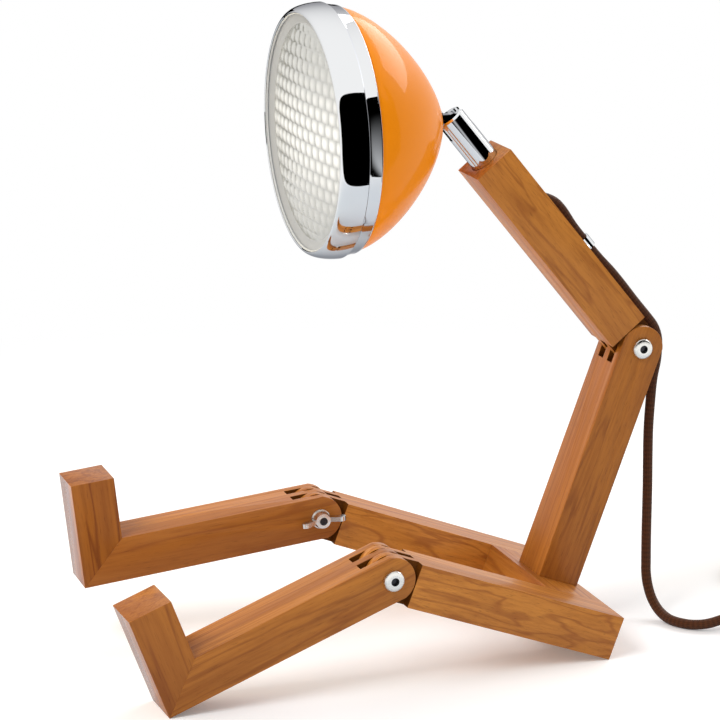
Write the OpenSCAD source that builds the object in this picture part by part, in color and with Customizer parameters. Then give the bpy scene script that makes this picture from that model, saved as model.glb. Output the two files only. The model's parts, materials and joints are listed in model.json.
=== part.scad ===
// A sitting figure of square timber bars with bolted finger hinges, carrying a headlamp on a swivel neck.
// X runs across the figure (+X is its left side), -Y is forward, +Z is up.
// The origin is on the surface it sits on, under the middle of the figure.

/* [Timber] */
// Thickness of every bar, front to back
bar_h = 24.5; // [20:0.5:30]
// Width of every bar, along its hinge bolt
bar_w = 29.6; // [25:0.2:40]
// Outer width of the seat at its back edge
seat_w = 140.4; // [120:0.2:200]
// Depth of the block between the thighs
seat_block_depth = 36.2; // [32:0.2:60]
// Back edge of the seat to the knee bolt
thigh_len = 140.6; // [110:0.2:200]
// Outward turn of each thigh from straight ahead
leg_splay = 1.6; // [0:0.1:6]
// Knee bolt to the sole of the foot
shin_len = 138.7; // [110:0.2:200]
// Height of the foot, heel to toe
foot_h = 59.5; // [45:0.5:90]
// Thickness of the toe block
toe_t = 24.5; // [18:0.5:30]
// Back edge of the seat to the back of the torso
torso_inset = 5; // [0:0.2:8]
// Seat top to the waist bolt
lower_torso_len = 139.3; // [100:0.1:200]
// Waist bolt to the top end of the torso
upper_torso_len = 141.6; // [110:0.2:200]

/* [Hinges] */
// Radius of the rounded end of each finger
finger_r = 12.6; // [10:0.1:16]
// Gap from the finger ends to the shoulder that they turn past
shoulder_gap = 0.5; // [0.3:0.1:1.5]
// Play on each side of a finger
finger_play = 0.1; // [0.05:0.05:0.3]
// Diameter of the hinge bolts
bolt_d = 5; // [4:0.5:6]
// Radial clearance of a turning fit
run_gap = 0.05; // [0.02:0.01:0.1]
// Diameter of the bolt heads
bolt_head_d = 11.5; // [9:0.5:14]
// Height of the bolt heads
bolt_head_h = 2.6; // [2:0.1:4]
// Size of the hexagon socket across its flats
socket_af = 4; // [3:0.5:5]
// Depth of the hexagon socket
socket_depth = 1.9; // [1:0.1:2]
// Diameter of the washers under the wing nuts
washer_d = 11; // [9:0.5:15]
// Thickness of the washers
washer_t = 1; // [0.6:0.1:1.6]
// Diameter of a wing nut's hub at its base
hub_d = 9.8; // [8.5:0.1:12]
// Diameter of a wing nut's hub at its crown
hub_crown_d = 8.4; // [6.8:0.1:8.4]
// Height of a wing nut's hub
hub_h = 5; // [4.5:0.1:8]
// Tip to tip width of a wing nut
wing_span = 26; // [22:0.5:32]
// Height of the wings above the hub's base
wing_h = 8; // [7:0.5:13]
// Thickness of the wings
wing_t = 2.6; // [1.8:0.1:3.2]
// Turn of the knees' wings from the line of the shin
wing_turn = 0; // [-90:1:90]

/* [Stance] */
// Forward bend of the waist from straight
waist_bend = 59.7; // [0:0.1:90]
// Downward bend of the left knee from straight
left_knee_bend = 41.4; // [30:0.2:60]
// Downward bend of the right knee from straight
right_knee_bend = 26.8; // [0:0.2:40]
// Droop of the lamp head's axis below level
head_droop = 0.8; // [-10:0.1:20]

/* [Joinery] */
// Diameter of the seat dowels
dowel_d = 8; // [6:0.5:10]
// Length of the seat dowels
dowel_len = 30; // [20:1:40]
// Back edge of the seat to the first and to the second row of dowels
dowel_rows = [9, 28];
// Diameter of the mitre dowels in the feet
foot_dowel_d = 5; // [4:0.5:6]
// Length of the mitre dowels
foot_dowel_len = 18; // [12:1:20]
// Spacing of the two dowels in each foot
foot_dowel_gap = 14; // [10:0.5:18]
// Diameter of the wood screws under the seat
wood_screw_d = 4.5; // [3.5:0.5:5]
// Length of the wood screws
wood_screw_len = 50; // [40:1:60]
// Diameter of the wood screws' heads
wood_screw_head_d = 8.5; // [7:0.5:10]
// Spacing of the two wood screws
wood_screw_gap = 15; // [10:0.5:20]

/* [Neck] */
// Diameter of the neck tube
neck_d = 16; // [13:0.1:16]
// Length of neck tube that stands out of the torso
neck_len = 33; // [31:0.5:45]
// Depth that the neck tube runs into the torso
neck_depth = 24; // [16:0.5:30]
// Bore of the neck tube
neck_bore_d = 8; // [6:0.5:9]
// Torso's top end to the tilt pin
tilt_h = 29.2; // [28:0.1:30]
// Depth of the slot in the top of the neck tube
slot_depth = 11.5; // [10:0.5:14]
// Bevel round the top of the neck tube
neck_bevel = 1; // [0.8:0.1:1.5]
// Width and depth of the bevelled mouth round the neck tube
mouth_bevel = 0.5; // [0.3:0.1:1]
// Wall that covers the tilt pin's left end
pin_cover = 1.5; // [1:0.1:2]
// Diameter of the tilt pin
tilt_pin_d = 3; // [2:0.1:4]
// Thickness of the tongue in the slot
tongue_t = 5.4; // [4:0.1:7]
// Radius of the tongue's eye
eye_r = 4.6; // [3.5:0.1:5]
// Tilt pin to the back of the lamp shell
tongue_reach = 8.3; // [8.3:0.1:12]
// Diameter of the collar between tongue and shell
collar_d = 12; // [10:0.5:12.5]
// Thickness of that collar
collar_t = 1.5; // [1:0.1:1.8]
// Diameter of the hollow threaded stem
stem_d = 8; // [7:0.5:10]
// Diameter of the set screw that keeps the neck tube in
set_screw_d = 4; // [3:0.5:5]

/* [Lamp head] */
// Diameter of the shell at its front
shell_d = 131.2; // [120:0.2:150]
// Depth of the shell's bowl
shell_depth = 56.8; // [50:0.2:80]
// Roundness of the bowl, 2 is an ellipse and less is more pointed
shell_power = 1.48; // [1.3:0.01:2]
// Wall of the shell
shell_wall = 1.2; // [0.8:0.1:2]
// Diameter of the flat at the back of the shell
shell_flat_d = 13; // [12.5:0.5:16]
// Overhang of the rim's front band past the shell
rim_lip = 2.9; // [2.3:0.1:5]
// Width of the rim's front band, from its opening outwards
rim_face = 4.8; // [3:0.1:9]
// Depth of the rim, front to back
rim_depth = 22.5; // [20:0.5:30]
// Depth of the rim's rounded front band
band_depth = 14.5; // [12:0.5:16]
// Step from the front band down to the skirt
rim_step = 0.6; // [0.2:0.1:1]
// Sheet thickness of the rim
rim_wall = 0.8; // [0.5:0.1:0.8]
// Clearance between the rim's skirt and the shell
rim_gap = 0.2; // [0.1:0.1:0.4]
// Thickness of the seal behind the rim's opening
gasket_t = 0.8; // [0.5:0.1:1.2]
// Thickness of the lens flange
lens_t = 3; // [2:0.1:4]
// Plain border of the lens inside the rim's opening
lens_border = 6.7; // [4:0.1:12]
// Rise of the lens's middle
lens_rise = 4; // [2:0.5:8]
// Focal length of the reflector's parabola
reflector_focus = 18; // [16:0.5:20]
// Sheet thickness of the reflector
reflector_t = 0.8; // [0.5:0.1:1]
// Plain border of the reflector inside the rim's opening
dish_border = 3.7; // [3:0.1:8]
// Diameter of the hole in the reflector
reflector_hole_d = 23; // [21:0.5:30]
// Diameter of the lamp holder
holder_d = 18; // [16:0.5:20]
// Length of the lamp holder
holder_len = 20; // [15:0.5:24]
// Length of the bracket's arms along the lamp holder
arm_len = 13.5; // [12.5:0.5:15]
// Back of the lamp holder to the two screws that hold it in the bracket
bracket_screw_at = 10; // [9:0.5:10.5]
// Length of the bulb's foot in the lamp holder
bulb_foot = 9; // [8:0.5:9]
// Back of the shell to the lamp holder
holder_gap = 9; // [8:0.5:12]
// Diameter of the bulb
bulb_d = 15; // [12:0.5:17]
// Length of the bulb
bulb_len = 36; // [25:1:38]
// Sheet thickness of the holder's bracket
bracket_t = 1.2; // [0.8:0.1:2]
// Width of the bracket's arms
bracket_w = 9; // [6:0.5:10]

/* [Cord and fittings] */
// Diameter of the cord
cord_d = 5.6; // [4:0.1:7]
// Top end of the torso to the cord's exit in its back
exit_drop = 39.6; // [32:0.1:45]
// Slope of the exit hole to the torso's back
exit_slope = 35; // [30:1:50]
// Outer diameter of the bush in the exit hole
bush_d = 8; // [7.5:0.1:10]
// Length of that bush
bush_len = 12; // [8:0.5:14]
// Top end of the torso to the cord clip
clip_drop = 77; // [60:0.5:90]
// Width of the cord clip along the cord
clip_w = 7; // [5:0.5:10]
// Strap thickness of the cord clip
clip_t = 0.9; // [0.6:0.1:1.5]
// Clearance between clip and cord
clip_gap = 0.2; // [0.1:0.1:0.5]
// Overall width of the cord clip
clip_span = 19; // [16:0.5:24]
// Diameter of the clip's screw heads
clip_screw_head_d = 4.4; // [3.5:0.1:5]
// Diameter of the middle turn of the cord's coil
coil_d = 62; // [56:1:68]
// Turns in the coil's lower layer
coil_turns = 4; // [3:1:5]
// Length of the in-line switch
switch_len = 50; // [48:1:70]
// Width of the in-line switch
switch_w = 26; // [22:1:32]
// Height of the in-line switch
switch_h = 17; // [15:0.5:22]
// Wall of the switch's two shells
switch_wall = 1.8; // [1.2:0.1:2.4]
// Length of the terminal block in the switch
block_len = 18; // [14:1:22]
// Length of the sleeves that hold the cord at both ends of the switch
sleeve_len = 20; // [20:1:30]
// Diameter of those sleeves where they enter the switch
sleeve_d = 10; // [9:0.5:12]
// Diameter of those sleeves at their tips
sleeve_tip_d = 7.6; // [6.8:0.1:8.5]
// Length of the rocker
rocker_len = 16; // [12:0.5:20]
// Width of the rocker
rocker_w = 9; // [7:0.5:11]
// Tilt of the rocker each way from level
rocker_tilt = 8; // [4:1:12]
// Gap round the rocker
rocker_gap = 0.5; // [0.4:0.1:0.6]
// Diameter of the rocker's pin
rocker_pin_d = 2; // [1.5:0.1:2.5]
// Length of the plug's body
plug_len = 38; // [30:1:45]
// Width of the plug's body
plug_w = 35; // [30:0.5:38]
// Height of the plug's body
plug_h = 13.5; // [12:0.5:16]
// Length of the plug's tapered strain relief
relief_len = 22; // [20:1:40]
// Diameter of the strain relief where it meets the plug's body
relief_d = 11; // [9:0.5:13]
// Diameter of the plug's pins
plug_pin_d = 4; // [4:0.1:4.8]
// Length of the plug's pins
plug_pin_len = 19; // [17:0.5:20]
// Spacing of the plug's pins
plug_pin_gap = 19; // [18:0.2:20]

/* [Hidden] */

// Fineness of small round parts and of the large lamp head
$fn = 48;
head_fn = 96;

// Timber
finger_w = bar_w / 5;
shoulder = finger_r + shoulder_gap;
outer_fingers = [0, 2, 4];
inner_fingers = [1, 3];
hole_r = bolt_d / 2 + run_gap;
screw_cone = (wood_screw_head_d - wood_screw_d) / 2;

// The seat leans back until the left heel touches the surface that its back edge stands on
heel_out = thigh_len + shin_len * cos(left_knee_bend) - bar_h / 2 * sin(left_knee_bend);
heel_down = shin_len * sin(left_knee_bend) + bar_h / 2 * cos(left_knee_bend) - bar_h / 2;
seat_tilt = atan(heel_down / (heel_out * cos(leg_splay)));

// Reach of the figure in front of and behind the back edge of the seat, which centres it on the origin
knee_ahead = thigh_len * cos(leg_splay) * cos(seat_tilt) - bar_h / 2 * sin(seat_tilt);
function toe_ahead(bend) = let (dip = bend - seat_tilt)
    knee_ahead + shin_len * cos(dip) * cos(leg_splay) + (foot_h - bar_h / 2) * sin(dip);
waist_back = (lower_torso_len + bar_h) * sin(seat_tilt) - (torso_inset + bar_h / 2) * cos(seat_tilt);
waist_up = (lower_torso_len + bar_h) * cos(seat_tilt) + (torso_inset + bar_h / 2) * sin(seat_tilt);
front_reach = max(toe_ahead(left_knee_bend), toe_ahead(right_knee_bend)) + bar_w * sin(leg_splay) / 2;
back_reach = waist_back + finger_r;
seat_y = (front_reach - back_reach) / 2;

// Lamp head, measured forward from the tilt pin
head_turn = head_droop - (waist_bend - seat_tilt);
shell_r = shell_d / 2;
bowl_len = shell_depth * pow(1 - pow(shell_flat_d / shell_d, shell_power), 1 / shell_power);
shell_back = tongue_reach;
bowl_front = shell_back + bowl_len;
rim_back = bowl_front;
rim_screw_d = 3;
rim_screw_at = 4;
rim_screw_rise = 1.05;
rim_front = rim_back + rim_depth;
rim_r = shell_r + rim_lip;
opening_r = rim_r - rim_face;
skirt_r = shell_r + rim_gap + rim_wall;
seal_front = rim_front - rim_wall - 0.2;
lens_front = seal_front - gasket_t;
lens_back = lens_front - lens_t;
lens_r = opening_r + 1.2;
flange_back = lens_back - reflector_t;
inner_bowl_r = shell_r - shell_wall;
inner_bowl_depth = shell_depth - shell_wall;
dish_r = opening_r - dish_border;
dish_back = lens_back - pow(dish_r, 2) / (4 * reflector_focus);
holder_back = shell_back + holder_gap;
bulb_foot_d = bulb_d - 3;
holder_front = holder_back + holder_len;
arm_x = holder_d / 2 + run_gap;
plate_r = norm([arm_x + bracket_t, bracket_w / 2]);
plate_share = pow(1 - pow(plate_r / inner_bowl_r, shell_power), 1 / shell_power);
bracket_back = bowl_front - inner_bowl_depth * plate_share + run_gap;
bracket_front = bracket_back + bracket_t;
stem_nut_h = 3.5;

// Neck
neck_r = neck_d / 2;
// Round the tilt pin, just clear of the back of the shell
fork_r = tongue_reach - 0.25;
slot_w = tongue_t + 2 * finger_play;
slot_floor = neck_len - slot_depth;
groove_w = 5;
groove_r = neck_r - 1.2;
groove_at = -neck_depth / 2;

// Cord
cord_r = cord_d / 2;
cord_sides = 10;
rest_h = cord_r + 0.1;
floor_z = cord_r;
// Down the torso's back: height above its back face, and distance up from the waist bolt
back_route = [[2, 98.8], [3, 96.6], [3.7, 94.3], [4, 91.6], [4, 88], [3.6, 83.5], [3.1, 79], [rest_h, 74.5],
              [rest_h, 69.5], [rest_h, 60], [3.2, 51], [3.9, 41], [4, 30], [3.8, 19]];
// Round the waist: distance behind and above the waist bolt
waist_route = [[11, 12], [13.3, 8.8], [14.9, 5.2], [15.9, 1.4], [16.1, -2.6], [15.6, -11]];
// Down to the surface and along it: x, distance behind the seat's back edge, height
drop_route = [[0, 55, 138], [0, 53.8, 124], [0, 53, 108], [0.2, 52.9, 92], [0.8, 52.8, 76], [1.6, 52.4, 60],
              [2.8, 51.8, 44], [4.2, 51.3, 32], [5, 51.1, 25], [6.6, 51.5, 18], [10.4, 52.4, 11],
              [16.2, 53.8, 5.9], [21.6, 55.2, 3.6], [27.5, 56.6, floor_z], [34.5, 59.6, floor_z],
              [40.2, 64.8, 3], [43.8, 71.5, 3.9], [45, 79, 5.6], [45, 86, 7.4]];
switch_at = [45, 114];
mouth_z = switch_h / 2;
mouth_route = [[45, 92, mouth_z], [45, 97, mouth_z], [45, 116, mouth_z]];
lead_route = [[45, 162, mouth_z], [45, 181, mouth_z], [45, 186, mouth_z], [44.2, 192.2, 8.1], [41.8, 198, 7],
              [38, 203, 5.6], [33, 206.8, 4.2], [27.2, 209.2, 3.1], [21, 210, floor_z], [9, 209.8, floor_z],
              [-3.6, 208, floor_z], [-16, 205.2, floor_z], [-28, 204.4, floor_z]];
coil_at = [-28, 165];
plug_z = plug_h / 2;
tail_route = [[3, 183, 7.8], [0.6, 194, 8.8], [-4.6, 204, 9.3], [-9.2, 212.2, 9], [-12.6, 217.8, 8.4],
              [-17.8, 223.4, 7.5], [-24.4, 227.4, 6.9], [-32, 229, plug_z], [-42, 229, plug_z]];
rocker_pin_z = switch_h - 3.5;
coil_layer = cord_d * sin(60);
coil_h = cord_d + coil_layer;
coil_half = coil_turns * cord_d / 2;

// ---- places ----

module on_surface() { translate([0, seat_y, 0]) children(); }

module in_seat() { on_surface() rotate([-seat_tilt, 0, 0]) children(); }

module in_thigh(side) {
    in_seat() mirror([side < 0 ? 1 : 0, 0, 0])
        translate([seat_w / 2, 0, 0]) rotate([0, 0, leg_splay]) translate([-bar_w, 0, 0]) children();
}

// At the knee bolt, with Z along the thigh away from the seat
module at_knee(side) { in_thigh(side) translate([0, -thigh_len, bar_h / 2]) rotate([90, 0, 0]) children(); }

module in_shin(side, bend) { at_knee(side) rotate([bend, 0, 0]) children(); }

module in_left_shin() { in_shin(1, left_knee_bend) children(); }

module in_right_shin() { in_shin(-1, right_knee_bend) children(); }

module in_lower_torso() {
    in_seat() translate([-bar_w / 2, -torso_inset - bar_h / 2, bar_h]) children();
}

module at_waist() { in_lower_torso() translate([0, 0, lower_torso_len]) children(); }

module in_upper_torso() { at_waist() rotate([waist_bend, 0, 0]) children(); }

module in_neck() { in_upper_torso() translate([bar_w / 2, 0, upper_torso_len]) children(); }

module in_head() { in_neck() translate([0, 0, tilt_h]) rotate([head_turn + 90, 0, 0]) children(); }

module in_switch() {
    on_surface() translate([switch_at[0], switch_at[1], 0]) children();
}

// At the mouth of the plug, with X towards its pins
module in_plug() {
    end = tail_route[len(tail_route) - 1];
    on_surface() translate([end[0], end[1], 0]) mirror([1, 0, 0]) children();
}

// ---- shared shapes ----

// A profile drawn in Y and Z, carried along X from x0 to x1
module across(x0, x1) {
    translate([x0, 0, 0]) rotate([90, 0, 90]) linear_extrude(x1 - x0) children();
}

module x_pin(r, x0, x1) { translate([x0, 0, 0]) rotate([0, 90, 0]) cylinder(r = r, h = x1 - x0); }

module finger_shape() {
    intersection() {
        circle(finger_r, $fn = 96);
        square([bar_h, 2 * finger_r], center = true);
    }
    translate([-bar_h / 2, 0]) square([bar_h, shoulder]);
}

// Fingers round a hinge bolt at the origin, reaching up to the shoulder of their bar
module fingers(which) {
    for (i = which)
        across(i == 0 ? 0 : i * finger_w + finger_play, i == 4 ? bar_w : (i + 1) * finger_w - finger_play)
            finger_shape();
}

// A bar from its hinge bolt up to z = len
module hinged_bar(len, which) {
    difference() {
        union() {
            fingers(which);
            translate([0, -bar_h / 2, shoulder]) cube([bar_w, bar_h, len - shoulder]);
        }
        x_pin(hole_r, -1, bar_w + 1);
    }
}

// Button head on the outer side, thread end on the inner side
module hinge_bolt() {
    rim_h = 1.1;
    crown_r = socket_af * 0.75;
    color("gainsboro") difference() {
        union() {
            x_pin(bolt_d / 2, -washer_t - hub_h - 0.6, bar_w + 0.5);
            translate([bar_w, 0, 0]) rotate([0, 90, 0]) rotate_extrude()
                polygon([[0, 0], [bolt_head_d / 2, 0], [bolt_head_d / 2, rim_h],
                         for (a = [15:15:75]) [crown_r + (bolt_head_d / 2 - crown_r) * cos(a),
                                               rim_h + (bolt_head_h - rim_h) * sin(a)],
                         [crown_r, bolt_head_h], [0, bolt_head_h]]);
        }
        translate([bar_w + bolt_head_h - socket_depth, 0, 0]) rotate([0, 90, 0])
            cylinder(d = socket_af / cos(30), h = socket_depth + 1, $fn = 6);
    }
}

module hinge_washer() {
    color("silver") difference() {
        x_pin(washer_d / 2, -washer_t, 0);
        x_pin(hole_r, -washer_t - 1, 1);
    }
}

module wing_nut(turn) {
    tip_r = 2.4;
    root = [hub_crown_d / 2, hub_h / 2];
    color("gainsboro") rotate([turn, 0, 0]) translate([-washer_t, 0, 0]) rotate([0, -90, 0]) difference() {
        union() {
            cylinder(d = hub_d, h = hub_h * 0.3);
            translate([0, 0, hub_h * 0.3]) cylinder(d1 = hub_d, d2 = hub_crown_d, h = hub_h * 0.7);
            for (s = [-1, 1])
                rotate([90, 0, 0]) translate([0, 0, -wing_t / 2]) linear_extrude(wing_t) hull() {
                    translate([s * root[0], root[1]]) circle(hub_h / 2 - 0.6, $fn = 24);
                    translate([s * (wing_span / 2 - tip_r), wing_h - tip_r]) circle(tip_r, $fn = 24);
                }
        }
        translate([0, 0, -1]) cylinder(r = hole_r, h = wing_h + 2);
    }
}

// A ring from z0 to z1
module tube(r_in, r_out, z0, z1) {
    translate([0, 0, z0]) difference() {
        cylinder(r = r_out, h = z1 - z0);
        translate([0, 0, -1]) cylinder(r = r_in, h = z1 - z0 + 2);
    }
}

// ---- seat and legs ----

module seat_dowel_places() {
    for (side = [-1, 1], row = dowel_rows)
        in_thigh(side) translate([0, -row, bar_h / 2]) children();
}

module thigh(side) {
    color("peru") difference() {
        in_thigh(side) translate([0, -thigh_len, bar_h / 2]) rotate([-90, 0, 0])
            hinged_bar(thigh_len + bar_h, inner_fingers);
        in_seat() translate([-seat_w, 0, -bar_h]) cube([2 * seat_w, 3 * bar_h, 3 * bar_h]);
        seat_dowel_places() x_pin(dowel_d / 2 + run_gap, -1, dowel_len / 2 + 0.5);
    }
}

module left_thigh() { thigh(1); }

module right_thigh() { thigh(-1); }

module seat_block() {
    back_half = seat_w / 2 - bar_w / cos(leg_splay);
    front_half = back_half + seat_block_depth * tan(leg_splay);
    color("peru") difference() {
        in_seat() linear_extrude(bar_h)
            polygon([[-back_half, 0], [-front_half, -seat_block_depth],
                     [front_half, -seat_block_depth], [back_half, 0]]);
        seat_dowel_places() x_pin(dowel_d / 2 + run_gap, -dowel_len / 2 - 0.5, 1);
        torso_screw_places() {
            translate([0, 0, -1]) cylinder(r = wood_screw_d / 2 + run_gap, h = bar_h + 2);
            translate([0, 0, -0.01])
                cylinder(d1 = wood_screw_head_d + 0.2, d2 = wood_screw_d, h = screw_cone);
        }
    }
}

module seat_dowels() {
    color("burlywood") seat_dowel_places() x_pin(dowel_d / 2, -dowel_len / 2, dowel_len / 2);
}

module torso_screw_places() {
    for (s = [-1, 1])
        in_seat() translate([s * wood_screw_gap / 2, -torso_inset - bar_h / 2, 0]) children();
}

module torso_screws() {
    color("silver") torso_screw_places() {
        cylinder(d = wood_screw_d, h = wood_screw_len);
        cylinder(d1 = wood_screw_head_d, d2 = wood_screw_d - 0.2, h = screw_cone);
    }
}

module lower_torso() {
    color("sienna") difference() {
        at_waist() mirror([0, 0, 1]) hinged_bar(lower_torso_len, outer_fingers);
        torso_screw_places() cylinder(r = wood_screw_d / 2 + run_gap, h = wood_screw_len + 0.5);
    }
}

// The mitre between shin and toe runs from the heel to the inside corner of the foot
module shin() {
    color("sienna") difference() {
        hinged_bar(shin_len, outer_fingers);
        across(-1, bar_w + 1)
            polygon([[-bar_h / 2, shin_len], [bar_h / 2, shin_len - toe_t], [bar_h, shin_len - toe_t],
                     [bar_h, shin_len + bar_h], [-bar_h / 2, shin_len + bar_h]]);
        foot_dowel_places() cylinder(r = foot_dowel_d / 2 + run_gap, h = foot_dowel_len + 1, center = true);
    }
}

module foot() {
    color("sienna") difference() {
        across(0, bar_w)
            polygon([[-bar_h / 2, shin_len], [bar_h / 2, shin_len - toe_t],
                     [foot_h - bar_h / 2, shin_len - toe_t], [foot_h - bar_h / 2, shin_len]]);
        foot_dowel_places() cylinder(r = foot_dowel_d / 2 + run_gap, h = foot_dowel_len + 1, center = true);
    }
}

module foot_dowel_places() {
    for (s = [-1, 1])
        translate([bar_w / 2 + s * foot_dowel_gap / 2, 0, shin_len - toe_t / 2])
            rotate([-atan2(toe_t, bar_h), 0, 0]) children();
}

module foot_dowels() {
    color("burlywood") foot_dowel_places() cylinder(d = foot_dowel_d, h = foot_dowel_len, center = true);
}

module left_shin() { in_left_shin() shin(); }
module left_foot() { in_left_shin() foot(); }
module left_foot_dowels() { in_left_shin() foot_dowels(); }
module left_knee_bolt() { in_left_shin() hinge_bolt(); }
module left_knee_washer() { in_left_shin() hinge_washer(); }
module left_wing_nut() { in_left_shin() wing_nut(wing_turn); }
module right_shin() { in_right_shin() shin(); }
module right_foot() { in_right_shin() foot(); }
module right_foot_dowels() { in_right_shin() foot_dowels(); }
module right_knee_bolt() { in_right_shin() hinge_bolt(); }
module right_knee_washer() { in_right_shin() hinge_washer(); }
module right_wing_nut() { in_right_shin() wing_nut(wing_turn); }

module waist_bolt() { at_waist() hinge_bolt(); }
module waist_washer() { at_waist() hinge_washer(); }
module waist_wing_nut() { at_waist() wing_nut(wing_turn); }

// ---- upper torso and neck ----

// At the mouth of the cord's exit hole, with Z along the hole and out of it
module at_exit() {
    in_upper_torso() translate([bar_w / 2, bar_h / 2, upper_torso_len - exit_drop])
        rotate([-(180 - exit_slope), 0, 0]) children();
}

module upper_torso() {
    color("peru") difference() {
        in_upper_torso() hinged_bar(upper_torso_len, inner_fingers);
        in_neck() translate([0, 0, -neck_depth]) cylinder(r = neck_r + run_gap, h = neck_depth + 1);
        in_neck() translate([0, 0, -mouth_bevel])
            cylinder(r1 = neck_r, r2 = neck_r + 2 * mouth_bevel, h = 2 * mouth_bevel);
        at_exit() translate([0, 0, -bush_len]) cylinder(d = bush_d, h = bush_len + bush_d);
        at_exit() translate([0, 0, -bush_len - cord_d]) cylinder(r = cord_r + run_gap, h = bush_len);
        at_set_screw() cylinder(r = set_screw_d / 2 + run_gap, h = bar_h / 2);
        for (s = [-1, 1])
            at_clip_screw(s) translate([0, 0, -6]) cylinder(r = 0.95, h = 7);
    }
}

// On the torso's back, with Z pointing forward into it
module at_set_screw() {
    in_neck() translate([0, bar_h / 2, groove_at]) rotate([90, 0, 0]) children();
}

module neck_set_screw() {
    tip_r = set_screw_d / 2 - 0.6;
    color("dimgray") at_set_screw() difference() {
        union() {
            translate([0, 0, 0.6]) cylinder(d = set_screw_d, h = bar_h / 2 - neck_r - run_gap - 0.7);
            translate([0, 0, 1]) cylinder(r = tip_r, h = bar_h / 2 - groove_r - 1.2);
        }
        translate([0, 0, -1]) cylinder(d = set_screw_d / 2 / cos(30), h = 3, $fn = 6);
    }
}

module cord_bush() {
    color("black") intersection() {
        at_exit() tube(cord_r + run_gap, bush_d / 2, -bush_len, bush_d);
        in_upper_torso() translate([0, -bar_h / 2, 0]) cube([bar_w, bar_h, upper_torso_len]);
    }
}

module at_clip() {
    in_upper_torso() translate([bar_w / 2, bar_h / 2, upper_torso_len - clip_drop]) children();
}

// At a clip screw, with Z out of the torso's back
module at_clip_screw(s) {
    at_clip() translate([s * (clip_span / 2 - clip_screw_head_d / 2), 0, 0]) rotate([-90, 0, 0]) children();
}

module clip_shape(grow) {
    arch_r = cord_r + clip_gap + grow;
    translate([0, rest_h]) circle(arch_r);
    translate([-arch_r, 0]) square([2 * arch_r, rest_h]);
}

module cord_clip() {
    color("silver") difference() {
        at_clip() translate([0, 0, -clip_w / 2]) linear_extrude(clip_w) difference() {
            union() {
                intersection() {
                    clip_shape(clip_t);
                    translate([-clip_span, 0]) square([2 * clip_span, clip_span]);
                }
                translate([-clip_span / 2, 0]) square([clip_span, clip_t]);
            }
            translate([0, -0.5]) clip_shape(0);
            clip_shape(0);
        }
        for (s = [-1, 1])
            at_clip_screw(s) translate([0, 0, -1]) cylinder(r = 0.95, h = 3);
    }
}

module clip_screws() {
    color("silver") for (s = [-1, 1]) at_clip_screw(s) {
        translate([0, 0, -6]) cylinder(r = 0.9, h = 6 + clip_t);
        translate([0, 0, clip_t]) intersection() {
            translate([0, 0, -1.2]) sphere(r = clip_screw_head_d / 2 + 0.3);
            cylinder(d = clip_screw_head_d, h = 3);
        }
    }
}

module neck_tube() {
    straight = neck_len + neck_depth - 0.1 - neck_bevel;
    color("gainsboro") in_neck() difference() {
        intersection() {
            union() {
                translate([0, 0, 0.1 - neck_depth]) cylinder(r = neck_r, h = straight);
                translate([0, 0, neck_len - neck_bevel])
                    cylinder(r1 = neck_r, r2 = neck_r - neck_bevel, h = neck_bevel);
            }
            union() {
                translate([0, 0, tilt_h]) x_pin(fork_r, -neck_d, neck_d);
                translate([0, 0, -neck_depth]) cylinder(d = 2 * neck_d, h = neck_depth + tilt_h);
            }
        }
        translate([0, 0, -neck_depth]) cylinder(d = neck_bore_d, h = neck_depth + slot_floor + 0.5);
        translate([-slot_w / 2, -neck_d, slot_floor]) cube([slot_w, 2 * neck_d, slot_depth + 1]);
        translate([0, 0, tilt_h]) x_pin(tilt_pin_d / 2 + run_gap, -neck_d, neck_r - pin_cover);
        translate([0, 0, groove_at - groove_w / 2]) difference() {
            cylinder(r = neck_r + 1, h = groove_w);
            cylinder(r = groove_r, h = groove_w);
        }
    }
}

// The pin goes in from the right, and a wall of the tube covers its left end
module tilt_pin() {
    color("silver") in_neck() translate([0, 0, tilt_h])
        x_pin(tilt_pin_d / 2, 0.6 - neck_r, neck_r - pin_cover - 0.1);
}

// ---- lamp head: Z forward from the tilt pin ----

module head_tongue() {
    stem_len = bracket_front + stem_nut_h + 1 - tongue_reach;
    color("gainsboro") in_head() difference() {
        union() {
            x_pin(eye_r, -tongue_t / 2, tongue_t / 2);
            translate([-tongue_t / 2, -eye_r + 0.6, 0])
                cube([tongue_t, 2 * eye_r - 1.2, tongue_reach - collar_t + 0.1]);
            translate([0, 0, tongue_reach - collar_t]) intersection() {
                cylinder(d = collar_d, h = collar_t);
                translate([-tongue_t / 2, -collar_d, 0]) cube([tongue_t, 2 * collar_d, collar_t]);
            }
            translate([0, 0, tongue_reach - 0.1]) cylinder(d = stem_d, h = stem_len + 0.1);
        }
        x_pin(tilt_pin_d / 2 + run_gap, -tongue_t, tongue_t);
        translate([0, 0, tongue_reach - collar_t]) cylinder(d = stem_d * 0.55, h = stem_len + collar_t + 1);
    }
}

function bowl_r(s, r, power) = r * pow(max(0, 1 - pow(s, power)), 1 / power);

// Bowl from its front (step 0) to its flat back (the last step)
function bowl(r, len, depth, front, steps) =
    [for (i = [0:steps]) let (s = i / steps * len / depth) [bowl_r(s, r, shell_power), front - s * depth]];

module head_shell() {
    steps = 22;
    outer = bowl(shell_r, bowl_len, shell_depth, bowl_front, steps);
    inner = bowl(inner_bowl_r, bowl_len - shell_wall, inner_bowl_depth, bowl_front, steps);
    reversed = [for (i = [steps:-1:0]) inner[i]];
    color("darkorange") in_head() difference() {
        rotate_extrude($fn = head_fn)
            polygon([[shell_r, flange_back], for (p = outer) p, [0, shell_back],
                     [0, shell_back + shell_wall], for (p = reversed) p,
                     [inner_bowl_r, flange_back]]);
        translate([0, 0, shell_back - 1]) cylinder(r = stem_d / 2 + run_gap, h = shell_wall + 2);
        at_rim_screw() cylinder(d = rim_screw_d + 0.2, h = 3 * rim_screw_d, center = true);
    }
}

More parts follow.
